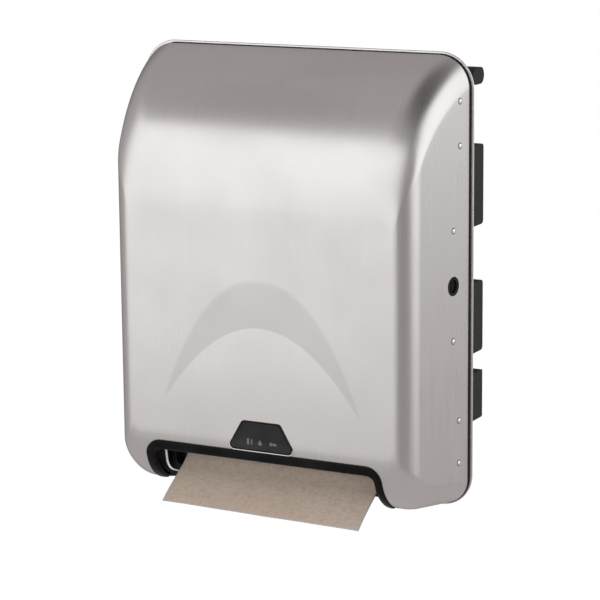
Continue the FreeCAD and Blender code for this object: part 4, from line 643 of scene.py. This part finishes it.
def sideRing(side, setback, height, radius, rise, count):
    # a ring standing off one of the cover's drafted sides
    c, s = turned(cover["sideDraft"])
    x = cover["halfWidth"] - (setback - cover["standoff"]) * s / c
    centre = Vector((side * x, -setback, height)) + Vector((side * c, -s, 0.0)) * rise
    along, up = Vector((side * s, c, 0.0)) * radius, Vector((0.0, 0.0, radius))
    return [(centre + along * a + up * b) * mm for a, b in (turned(360 * k / count) for k in range(count))]


shellPiece = makeCover()
print("cover mesh", len(shellPiece.data.vertices), "points")
outline = slotOutline()
outline = [(outline[0][0], cuts["foot"])] + outline + [(outline[-1][0], cuts["foot"])]
lockRings = [sideRing(1, lock["setback"], lock["height"], lock["hole"], rise, lock["sides"])
             for rise in (-lock["reach"], lock["reach"])]
cutAway(shellPiece, [prismAlongY("slotCutter", outline, *cuts["slot"]),
                     prismAlongY("windowCutter", windowOutline(window["rim"]), *cuts["window"]),
                     outward(newPiece("lockCutter", *ringSkin(lockRings), smooth=False))])
shellPiece.data.materials.clear()
shellPiece.data.materials.append(materials["coverSteel"])
shellPiece.data.polygons.foreach_set("use_smooth", [True] * len(shellPiece.data.polygons))
shellPiece.data.set_sharp_from_angle(angle=math.radians(38))
weighNormals(shellPiece, 100)
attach(shellPiece, "door")
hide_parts("cover_shell")
print("cover cut")

# wall flange with a rolled rim, and a black strip under the cover's edge, a painted shadow of the gap there

flange = dict(half=169.2, high=208.0, low=-208.3, upper=33.0, lower=31.0, lip=14.0, sheet=1.2, roll=0.95,
              backSoft=0.25, edgeSoft=0.2, crown=0.4, lipSoft=0.3)
# sizes of the black strip under the cover's edge, a painted shadow
shadowStrip = dict(outside=0.55, inside=2.2, gap=0.35, leftEnd=-140.0)


def makeFlange():
    lip, edge, sheet, soft = flange["lip"], flange["roll"], flange["sheet"], flange["edgeSoft"]
    levels = [(lip, 0.0), (flange["backSoft"], 0.0), (0.0, -soft)]
    levels += [(edge * (1 - c), -sheet + edge * (1 - s)) for c, s in map(turned, (0, 22, 45, 67, 90))]
    levels += [(edge + flange["crown"], -sheet), (lip - flange["lipSoft"], -sheet), (lip, -sheet + soft)]
    verts = []
    for inset, y in levels:
        verts += frontView(roundedRing(flange["half"] - inset, flange["high"] - inset, flange["low"] + inset,
                                       flange["upper"] - inset, flange["lower"] - inset), y)
    faces = gridFaces(len(levels), len(verts) // len(levels), True, True)
    piece = finished(newPiece("wallFlange", verts, faces, "frame"), "flangeSteel", 40)
    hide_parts("wall_flange")


# a black strip that stands in for the shadow between the cover's edge and the flange: painted shadow
def makeShadowStrip():
    # along the top, the right side and the bottom; the left side is left free for the hinged edge
    wide, tall, upper, lower = cover["halfWidth"], cover["halfHeight"], cover["upper"][0], cover["lower"][0]
    outer, inner = (roundedRing(wide + grow, tall + grow, -tall - grow, upper + grow, lower + grow)
                    for grow in (shadowStrip["outside"], -shadowStrip["inside"]))
    keep = [k for k, (x, z) in enumerate(outer) if x > shadowStrip["leftEnd"]]
    split = next(i for i in range(1, len(keep)) if keep[i] != keep[i - 1] + 1)
    front, rear = (shadowStrip["gap"] - cover["standoff"]) * mm, -flange["sheet"] * mm
    rings = []
    for k in keep[split:] + keep[:split]:
        corners = ((outer[k], rear), (outer[k], front), (inner[k], front), (inner[k], rear))
        rings.append([(x * mm, y, z * mm) for (x, z), y in corners])
    piece = finished(newPiece("coverShadowStrip", *ringSkin(rings), "frame", False), "paintedShadowBlack")


makeFlange()
makeShadowStrip()
print("flange made")

# rivets on both sides of the cover: bright domes, each ringed in black, a painted shadow of the gap round its
# head

rivets = dict(places=((18.0, 167.0), (18.0, 127.4), (27.5, 52.5), (27.5, -47.5), (18.0, -122.4),
                      (18.0, -162.0)), dome=2.35, rise=1.0, base=0.1, neck=0.05, shank=1.3, tail=1.8,
                      tailFrom=-2.2, tailTo=-2.9,
              # radius and height of the black ring round each head, a painted shadow
              shadowRing=((2.95, -0.1), (2.95, 0.06), (2.8, 0.12)))


def sideDiscs(name, profile, finish, count=20):
    # one turned profile (radius, height) at every rivet's place
    verts, faces = [], []
    for side in (1, -1):
        for setback, height in rivets["places"]:
            rings = [sideRing(side, setback, height, radius, rise, count) for radius, rise in profile]
            disc = ringSkin(rings, len(verts))
            verts += disc[0]
            faces += disc[1]
    return finished(newPiece(name, verts, faces, "door"), finish, 50)


def makeRivets():
    dome, base, shank, tail = rivets["dome"], rivets["base"], rivets["shank"], rivets["tail"]
    profile = [(tail, rivets["tailTo"]), (tail, rivets["tailFrom"]), (shank, rivets["tailFrom"]),
               (shank, rivets["neck"]), (dome, base)]
    profile += [(dome * c, base + rivets["rise"] * s) for c, s in map(turned, (20, 40, 60, 80))]
    heads = sideDiscs("coverRivets", profile, "brightEdge")
    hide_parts("cover_rivets")
    # black rings round the heads: painted shadow of the gap at each rivet
    shadowRings = sideDiscs("rivetShadowRings", rivets["shadowRing"], "paintedShadowBlack")


makeRivets()
print("rivets made")

# slot trim: a low bead on the shell with a return inside it


def frontAt(z):
    # the cover's front at a height: depth, outward normal and the direction up along it
    centre, drop = chinCentre()
    radius, ease = cover["chinRadius"], cover["chinEase"]
    over = -z - drop
    if over < ease / 2:
        run = max(over + ease / 2, 0.0)
        turn, depth = run ** 2 / (2 * radius * ease), cover["depth"] - run ** 3 / (6 * radius * ease)
    else:
        turn = math.asin(min(over / radius, 0.999))
        depth = centre + radius * math.cos(turn)
    c, s = math.cos(turn), math.sin(turn)
    return depth, Vector((0, -c, -s)), Vector((0, -s, c))


def legPath(count=30):
    # a leg of the bead, from its square end under the chin upwards: place and outward normal
    centre, drop = chinCentre()
    radius = cover["chinRadius"]
    first = math.asin((slot["legEnd"] - centre) / radius)
    path = []
    for k in range(count + 1):
        z = -drop - radius * math.cos(first + (math.pi / 2 - first) * k / count)
        depth, out, up = frontAt(z)
        path.append((-depth, z, out))
    return [step for step in path if step[1] < slot["top"] - slot["radius"] - 0.4]


def trimSections():
    # along the whole bead: place, outward normal, direction away from the slot, outer and inner reach, height
    half, top, radius = slot["half"], slot["top"], slot["radius"]

    def reaches(side, z, bar=0.0):
        share = min(max((slot["flareTop"] - z) / (slot["flareTop"] - slot["flareFoot"]), 0.0), 1.0)
        flare = slot["flare"][0 if side < 0 else 1]
        return (slot["lip"] + flare * share + (slot["barLip"] - slot["lip"]) * bar,
                slot["inner"] + (slot["barInner"] - slot["inner"]) * bar,
                slot["proud"] + (slot["footProud"] - slot["proud"]) * share)

    def leg(side):
        return [(Vector((side * half, y, z)), out, Vector((side, 0, 0))) + reaches(side, z)
                for y, z, out in legPath()]

    def corner(side, degrees):
        c, s = turned(degrees)
        z = top - radius + radius * s
        depth, out, up = frontAt(z)
        return (Vector((side * (half - radius + radius * c), -depth, z)), out,
                Vector((side * c, 0, 0)) + up * s) + reaches(side, z, s * s)

    depth, out, up = frontAt(top)
    across = [radius - half + 2 * (half - radius) * k / 16 for k in range(1, 16)]
    bar = [(Vector((x, -depth, top)), out, up) + reaches(1, top, 1.0) for x in across]
    return (leg(-1) + [corner(-1, 7.5 * k) for k in range(13)] + bar
            + [corner(1, 90 - 7.5 * k) for k in range(13)] + leg(1)[::-1])


def beadProfile(reach, inner, proud):
    # (away from the slot, out of the shell): a rounded outer edge, a flat crown, a wide easing into the slot
    tuck, root, web = slot["tuck"], slot["root"], slot["web"]
    (wide, tall), (crown, lift), (broad, deep) = slot["edgeRound"], slot["crown"], slot["easing"]
    turns = [turned(a) for a in range(0, 91, 15)]
    points = [(-inner, -web), (-tuck, -web), (-tuck, -root), (reach, -root)]
    points += [(reach - wide + wide * c, proud - tall + tall * s) for c, s in turns]
    points.append((crown, proud + lift))
    return points + [(broad - inner - broad * s, proud - lift - deep + deep * c) for c, s in turns]


def rearLine():
    # rear edge of the return's side walls, from the roof down to the foot, in short steps
    line = roundedOutline(list(slot["rear"]), [0, slot["rearRadius"], slot["rearRadius"], 0], 10)
    points = [line[0]]
    for spot in line[1:]:
        last = points[-1]
        count = max(1, round(math.dist(last, spot) / slot["rearStep"]))
        points += [(last[0] + (spot[0] - last[0]) * k / count, last[1] + (spot[1] - last[1]) * k / count)
                   for k in range(1, count + 1)]
    return points


def rearAt(z, line=tuple(rearLine())):
    for (y0, z0), (y1, z1) in zip(line, line[1:]):
        if z1 <= z <= z0:
            return -(y0 + (y1 - y0) * (z0 - z) / (z0 - z1))
    return -line[0][0] if z > line[0][1] else -line[-1][0]


def makeTrim():
    rings = []
    for place, out, away, *reaches in trimSections():
        rings.append([(place + away * s + out * n) * mm for s, n in beadProfile(*reaches)])
    verts, faces = ringSkin(rings)
    # the return: side walls and roof going back from the front
    foot, steps, rows = slot["footHeight"], 16, 13
    lines = []
    for grow, topGrow in ((-slot["tuck"], -slot["tuck"]), (-slot["inner"], -slot["barInner"])):
        line = slotOutline(grow, topGrow)
        low = line[0][1]
        left = [(line[0][0], foot + (low - foot) * k / steps) for k in range(steps)]
        right = [(line[-1][0], low + (foot - low) * k / steps) for k in range(1, steps + 1)]
        lines.append(left + line + right)
    start, count = len(verts), len(lines[0])
    for k in range(rows):
        for x, z in lines[0] + lines[1][::-1]:
            rear = rearAt(z)
            front = max(frontAt(z)[0] - slot["behind"], rear + 0.4)
            verts.append(Vector((x, -(rear + (front - rear) * k / (rows - 1)), z)) * mm)
    faces += gridFaces(rows, 2 * count, False, True, start)
    for base in (start, start + (rows - 1) * 2 * count):
        top = base + 2 * count - 1
        faces += [(base + i, base + i + 1, top - 1 - i, top - i) for i in range(count - 1)]
    piece = finished(newPiece("slotTrim", verts, faces, "door"), "trimBlack", 40)
    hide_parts("slot_trim")


def tubeAlong(name, path, radius, finish, sides=12):
    # a round bar on the cover along points, with closed ends
    rings = []
    for k, spot in enumerate(path):
        ahead = (path[min(k + 1, len(path) - 1)] - path[max(k - 1, 0)]).normalized()
        depth = Vector((0, -1, 0))
        depth = (depth - ahead * depth.dot(ahead)).normalized()
        side = ahead.cross(depth)
        turns = [turned(360 * j / sides) for j in range(sides)]
        rings.append([(spot + depth * radius * c + side * radius * s) * mm for c, s in turns])
    return finished(newPiece(name, *ringSkin(rings), "door"), finish, 50)


def makeTrimEdges():
    # bright steel along the rear edges of the return's side walls
    line = [spot for spot in rearLine() if spot[1] < slot["top"] - slot["barInner"]]
    reach = slot["half"] - slot["inner"] - slot["edgeBar"] * 0.4
    for name, x in (("trimEdgeLeft", -reach), ("trimEdgeRight", reach)):
        bar = tubeAlong(name, [Vector((x, y, z)) for y, z in line], slot["edgeBar"], "paleEdge")


makeTrim()
makeTrimEdges()
print("trim made")

# mouth of the chute: a dark surround, and an apron that closes the view into the cover
mouth = dict(half=118.05, foot=-188.65, top=-160.0, radius=10.0, corner=5.0, front=-60.7, plate=1.8,
             reach=6.0, drop=1.3, apron=-34.0, apronFoot=-199.3, apronTop=-188.95, apronReach=126.05,
             apronRadius=1.5)


def mouthPlate(name, line, front):
    piece = prismAlongY(name, line, front, front + mouth["plate"], "frame")
    piece.data.materials.append(materials["trimBlack"])


def makeMouth():
    half, foot, top = mouth["half"], mouth["foot"], mouth["top"]
    reach, drop, corner = half + mouth["reach"], foot - mouth["drop"], mouth["corner"]
    line = [(-reach, top), (-reach, drop), (reach, drop), (reach, top),
            (half, top), (half, foot), (-half, foot), (-half, top)]
    radii = [0, corner, corner, 0, 0, mouth["radius"], mouth["radius"], 0]
    mouthPlate("mouthSurround", roundedOutline(line, radii, 6), mouth["front"])
    reach, low, high = mouth["apronReach"], mouth["apronFoot"], mouth["apronTop"]
    line = [(-reach, low), (reach, low), (reach, high), (-reach, high)]
    mouthPlate("mouthApron", roundedOutline(line, mouth["apronRadius"], 4), mouth["apron"])


makeMouth()
print("mouth made")

# sensor window, its bright lower edge and its marks


def flatMark(name, loops, y, lift, finish):
    # thin printed shapes on the front: each loop is (outer, inner or None)
    verts, faces = [], []
    for outer, inner in loops:
        start = len(verts)
        if inner:
            for line, level in ((outer, y), (inner, y), (inner, y - lift), (outer, y - lift)):
                verts += frontView(line, level)
            faces += gridFaces(4, len(outer), True, True, start)
        else:
            shape = ringSkin([frontView(outer, y), frontView(outer, y - lift)], start)
            verts += shape[0]
            faces += shape[1]
    return finished(newPiece(name, verts, faces, "door", False), finish)


def makeWindow():
    rim, edge, bezel, face = window["rim"], window["edge"], window["bezel"], -cover["depth"] - window["proud"]
    before, slope, after = window["bezelSoft"]
    levels = [(rim, window["stem"] - cover["depth"]), (rim, -cover["depth"]),
              (0.0, -cover["depth"] - window["seam"]), (0.0, face + edge)]
    levels += [(edge * (1 - c), face + edge * (1 - s)) for c, s in map(turned, (30, 60, 90))]
    levels += [(bezel - before, face), (bezel, face + slope), (bezel + after, face + window["sink"])]
    rings = [frontView(windowOutline(inset), y) for inset, y in levels]
    piece = finished(newPiece("sensorWindow", *ringSkin(rings), "door"), "windowBlack", 50)
    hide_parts("sensor_window")
    # a darker line round its face
    outer, inner, lift = window["line"]
    rim = flatMark("windowRim", [(windowOutline(outer), windowOutline(inner))], face, lift, "trimBlack")
    # the bright line under it, round both lower corners
    ring = windowOutline(-window["barGrow"])
    low = min(z for x, z in ring)
    below = sorted((spot for spot in ring if spot[1] < low + window["barRise"]), key=lambda spot: spot[0])
    path = [Vector((x, -cover["depth"] - window["barBehind"], z)) for x, z in below]
    tubeAlong("windowEdge", path, window["bar"], "brightEdge", 10)


# two bars, a rounded triangle and two overlapping rounds: places, half widths and half heights
marks = dict(height=-143.8, bars=((-11.9, 1.1, 2.8), (-8.2, 0.65, 2.5)), barRadius=0.3,
             triangle=((-1.9, -2.4), (3.1, -2.4), (0.5, 3.0)), triangleRadii=(0.9, 0.9, 0.4),
             rounds=((11.9, -0.2, 1.75, 1.0), (15.4, -0.3, 2.3, 0.55)), sides=20, lift=0.06)


def makeMarks():
    middle, sides = marks["height"], marks["sides"]
    loops = []
    for x, wide, tall in marks["bars"]:
        low, high = middle - tall, middle + tall
        loops.append(roundedOutline([(x - wide, low), (x + wide, low), (x + wide, high), (x - wide, high)],
                                    marks["barRadius"], 3))
    loops.append(roundedOutline([(x, middle + z) for x, z in marks["triangle"]], marks["triangleRadii"], 5))
    for x, z, radius, squash in marks["rounds"]:
        turns = [turned(360 * k / sides) for k in range(sides)]
        loops.append([(x + radius * c, middle + z + squash * radius * s) for c, s in turns])
    y = -cover["depth"] - window["proud"] + window["sink"]
    piece = flatMark("indicatorMarks", [(loop, None) for loop in loops], y, marks["lift"], "markGrey")
    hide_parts("indicator_icons")


makeWindow()
makeMarks()
print("sensor window made")

# towel: one sheet from the roll, round the drive roller, over the mouth's lip and out


def curve(a, b, c, d, steps):
    # a cubic curve's points, without the last
    pairs = [(k / steps, 1 - k / steps) for k in range(steps)]
    return [a * r ** 3 + b * 3 * t * r ** 2 + c * 3 * t * t * r + d * t ** 3 for t, r in pairs]


def towelLine():
    off = towel["clearance"] + towel["sheet"] / 2
    path, reel = towel["driveRadius"] + off, roll["radius"] + off
    drive, core = Vector((towel["driveBack"], towel["driveHeight"])), Vector((roll["back"], roll["height"]))
    toPinch = Vector(turned(-towel["nipAngle"]))
    nip = drive + toPinch * path
    between = drive - core
    run = math.atan2(between.y, between.x) + math.asin((path + reel) / between.length)
    side = Vector((math.sin(run), -math.cos(run)))
    leave, meet = core + side * reel, drive - side * path
    points = [leave.lerp(meet, k / 24) for k in range(24)]
    first, last = math.degrees(math.atan2(*reversed(meet - drive))), -towel["nipAngle"]
    points += [drive + Vector(turned(first + (last - first) * k / 12)) * path for k in range(12)]
    lip, tip = Vector(towel["lip"]), Vector(towel["tip"])
    offNip = Vector((toPinch.y, -toPinch.x))
    overLip, offTip = -Vector(turned(towel["lipSlope"])), -Vector(turned(towel["tipSlope"]))
    after = towel["afterLip"]
    points += curve(nip, nip + offNip * towel["offNip"], lip - overLip * towel["beforeLip"], lip, 30)
    points += curve(lip, lip + overLip * after, tip - offTip * after, tip, 36)
    return points + [tip]


def makeTowel():
    line, columns = towelLine(), towel["columns"]
    length = sum((line[k + 1] - line[k]).length for k in range(len(line) - 1))
    rng = random.Random(4)
    ripples = [(rate, share, rng.uniform(0, 6.28)) for rate, share in towel["ripples"]]
    verts = []
    run = 0.0
    for k, spot in enumerate(line):
        if k:
            run += (spot - line[k - 1]).length
        free = min(max((run - (length - towel["free"])) / towel["free"], 0.0), 1.0)
        # the free end spreads a little and hangs slightly to the right
        out = min(free * towel["spreadRate"], 1.0)
        shortening = towel["shorter"] * max(run - (length - towel["shortRun"]), 0.0) / towel["shortRun"]
        tangent = (line[min(k + 1, len(line) - 1)] - line[max(k - 1, 0)]).normalized()
        normal = Vector((-tangent.y, tangent.x))
        for c in range(columns):
            u = c / (columns - 1) * 2 - 1
            wave = sum(math.sin(u * rate + phase) * share for rate, share, phase in ripples)
            # the left end of the cut is a little shorter, and the cut has teeth
            less = shortening * (1 - u) / 2
            if k == len(line) - 1:
                place = c * towel["width"] / (columns - 1) / towel["toothPitch"]
                less += towel["tooth"] * abs(place % 1.0 - 0.5) * 2
            x = u * (towel["width"] / 2 + towel["spread"] * out) + towel["aside"] * out
            y, z = spot + normal * (towel["wave"] * free * wave) - tangent * less
            verts.append((x * mm, y * mm, z * mm))
    piece = newPiece("towelSheet", verts, gridFaces(len(line), columns), "frame")
    thick = piece.modifiers.new("thick", "SOLIDIFY")
    thick.thickness = towel["thick"] * mm
    thick.offset = 0.0
    piece.data.materials.append(materials["towelPaper"])
    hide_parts("paper_towel")
    print("towel length", round(length, 1))


makeTowel()

# paper roll: rounded edges, slightly uneven layers at its ends


def makeRoll():
    half, radius, bore, layers = roll["half"], roll["radius"], roll["bore"], roll["layers"]
    least, most = roll["uneven"]
    rng = random.Random(9)
    wound = radius - roll["turnedIn"] - bore
    profile = [(half - least - rng.uniform(0.0, most), bore + wound * k / layers) for k in range(layers + 1)]
    profile += [(half - aside, radius - under) for aside, under in roll["edge"]]
    profile += [(-x, reach) for x, reach in reversed(profile)]
    verts = []
    for c, s in (turned(360 * k / roll["sides"]) for k in range(roll["sides"])):
        verts += [(x * mm, (roll["back"] + reach * c) * mm, (roll["height"] + reach * s) * mm)
                  for x, reach in profile]
    faces = gridFaces(roll["sides"], len(profile), True, True)
    piece = finished(newPiece("paperRoll", verts, faces, "roll"), "rollPaper", 40)
    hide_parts("paper_roll")


makeRoll()
print("roll made")

# camera, lights and floor

view = dict(azimuth=27.887, pitch=11.716, roll=-0.542, focal=2469.77, aim=(-7.13, 0.0, -29.84),
            distance=2303.3, pixels=600.0, sensor=36.0, near=0.05, far=50.0)


def setCamera():
    (ca, sa), (cp, sp), (ct, st) = (turned(view[key]) for key in ("azimuth", "pitch", "roll"))
    forward = Vector((-sa * cp, ca * cp, -sp))
    right = Vector((ca, sa, 0.0))
    up = right.cross(forward)
    right, up = right * ct + up * st, up * ct - right * st
    place = Vector(view["aim"]) * mm - forward * view["distance"] * mm
    data = bpy.data.cameras.new("studioCamera")
    data.sensor_width = view["sensor"]
    data.lens = view["focal"] / view["pixels"] * view["sensor"]
    data.clip_start = view["near"]
    data.clip_end = view["far"]
    camera = bpy.data.objects.new("studioCamera", data)
    scene.collection.objects.link(camera)
    rows = [(right[k], up[k], -forward[k], place[k]) for k in range(3)]
    camera.matrix_world = Matrix(rows + [(0, 0, 0, 1)])
    scene.camera = camera


def softLamp(name, place, aim, wide, tall, power):
    data = bpy.data.lights.new(name, "AREA")
    data.shape = "RECTANGLE"
    data.size = wide
    data.size_y = tall
    data.energy = power
    lamp = bpy.data.objects.new(name, data)
    scene.collection.objects.link(lamp)
    lamp.location = place
    lamp.rotation_euler = (Vector(aim) - Vector(place)).to_track_quat("-Z", "Y").to_euler()
    lamp.visible_glossy = False


lamps = dict(
    keyLamp=dict(place=(-0.5, -2.7, 0.35), aim=(0.0, 0.0, -0.1), wide=1.4, tall=1.2, power=30.0),
    topLamp=dict(place=(-1.1, -2.2, 2.4), aim=(0.0, 0.0, 0.0), wide=1.6, tall=1.6, power=16.0),
    fillLamp=dict(place=(1.9, -1.9, 0.4), aim=(0.0, 0.0, -0.05), wide=1.4, tall=1.6, power=15.0),
)
studio = dict(floorHeight=-0.75, floorSize=60.0, floorSteps=8, floorGlow=1.07, floorShare=0.9,
              floorColors=((0.84, 0.84, 0.84), (0.88, 0.88, 0.88)), white=(1.0, 1.0, 1.0))
# soft windows of the room, as the steel mirrors them: headings in degrees from the front, to the right
room = dict(
    wall=0.43, least=0.1, warm=(1.0, 0.945, 0.94), warmth=(0.4, 1.15),
    ground=dict(low=-0.46, high=-0.24, lighter=0.09),
    rightWall=dict(heading=32.0, half=48.0, edge=24.0, pinch=0.0, darker=0.1),
    ceiling=dict(heading=84.0, rise=62.0, half=33.0, edge=10.0, darker=0.27),
    back=dict(heading=212.0, rise=-5.0, half=36.0, edge=12.0, darker=0.22),
    front=dict(heading=-28.0, rise=14.0, half=0.5, spread=0.36, lean=0.16, edge=0.13, glow=1.33, top=0.62,
               topEdge=0.07, low=-0.325, high=-0.16, foot=0.27, wider=0.34, widerLow=-0.42, widerHigh=-0.3),
    side=dict(heading=102.0, half=46.0, edge=22.0, pinch=90.0, glow=1.32, top=0.745, topEdge=0.1,
              low=-0.3, high=-0.14, foot=0.35),
)


def makeWorld():
    scene.world = bpy.data.worlds.new("studioWorld")
    w = Wires(scene.world, "Generated")
    x, y, z = w.axes()
    level = w.larger(w.math("SQRT", w.plus(w.times(x, x), w.times(y, y))), 0.001)

    def along(axis):
        return w.plus(*(w.times(part, share) for part, share in zip((x, y, z), axis)))

    def pointing(heading, rise=0.0):
        (c, s), (flat, up) = turned(heading), turned(rise)
        return Vector((s * flat, -c * flat, up))

    def sector(part):
        # 1 near a heading, falling to 0 over its soft edges, narrower below the horizon
        angle = w.math("MINIMUM", w.math("DIVIDE", along(pointing(part["heading"])), level), 0.9999)
        below = w.times(w.larger(w.times(z, -1.0), 0.0), math.radians(part["pinch"]))
        angle = w.plus(w.math("ARCCOSINE", angle), below)
        return w.minus(1.0, w.ease(angle, *(math.radians(part["half"] + k * part["edge"]) for k in (-1, 1))))

    def cap(part):
        ahead = along(pointing(part["heading"], part["rise"]))
        return w.ease(ahead, *(turned(part["half"] + k * part["edge"])[0] for k in (1, -1)))

    def banner(part):
        # a tall soft window, wider at its top and at its foot
        ahead, right = pointing(part["heading"], part["rise"]), pointing(part["heading"] + 90.0)
        near = w.larger(along(ahead), 0.05)
        upward = w.math("DIVIDE", along(ahead.cross(right)), near)
        across = w.size(w.minus(w.math("DIVIDE", along(right), near), w.times(upward, part["lean"])))
        foot = w.minus(1.0, w.ease(upward, part["widerLow"], part["widerHigh"]))
        reach = w.plus(part["half"], w.times(upward, part["spread"]))
        over = w.minus(across, reach, w.times(foot, part["wider"]))
        return w.minus(1.0, w.ease(over, -part["edge"], part["edge"]))

    def lit(shape, part):
        top = w.minus(1.0, w.ease(z, part["top"] - part["topEdge"], part["top"] + part["topEdge"]))
        foot = w.plus(part["foot"], w.times(w.ease(z, part["low"], part["high"]), 1.0 - part["foot"]))
        return w.times(shape, top, foot, part["glow"])

    # lighter and even below the horizon
    ground, wall = room["ground"], room["rightWall"]
    above = w.ease(z, ground["low"], ground["high"])
    walls = w.minus(room["wall"] + ground["lighter"], w.times(above, ground["lighter"]),
                    w.times(sector(wall), wall["darker"], above),
                    *(w.times(cap(room[part]), room[part]["darker"]) for part in ("ceiling", "back")))
    light = w.larger(lit(banner(room["front"]), room["front"]), lit(sector(room["side"]), room["side"]),
                     w.larger(walls, room["least"]))
    # the dimmer walls are a little warmer than the windows
    tint = w.mix(w.ease(light, *room["warmth"]), room["warm"], studio["white"])
    seen = w.blend(w.add("ShaderNodeLightPath").outputs["Is Camera Ray"],
                   w.glowing("ShaderNodeBackground", tint, light),
                   w.glowing("ShaderNodeBackground", studio["white"], 1.0))
    w.feed(w.tree.nodes["World Output"].inputs["Surface"], seen)


def makeFloor():
    w = paint("paleFloor")
    w.set(color=w.mix(w.noise(6.0), *studio["floorColors"]), rough=0.9, spec=0.1)
    size, steps, height = studio["floorSize"], studio["floorSteps"], studio["floorHeight"]
    line = [size * k / steps - size / 2 for k in range(steps + 1)]
    verts = [(x, y, height) for y in line for x in line]
    floor = newPiece("studioFloor", verts, gridFaces(steps + 1, steps + 1))
    # to the camera the floor is the white of the background, with the shadow left on it
    share = w.times(w.add("ShaderNodeLightPath").outputs["Is Camera Ray"], studio["floorShare"])
    seen = w.blend(share, w.tree.nodes["Principled BSDF"].outputs[0],
                   w.glowing("ShaderNodeEmission", studio["white"], studio["floorGlow"]))
    w.feed(w.tree.nodes["Material Output"].inputs["Surface"], seen)
    floor.data.materials.append(w.owner)
    # the steel mirrors the room's soft windows and not the floor
    floor.visible_glossy = False


setCamera()
for name, lamp in lamps.items():
    softLamp(name, **lamp)
makeWorld()
makeFloor()
scene.view_settings.view_transform = "Standard"
print("studio set")
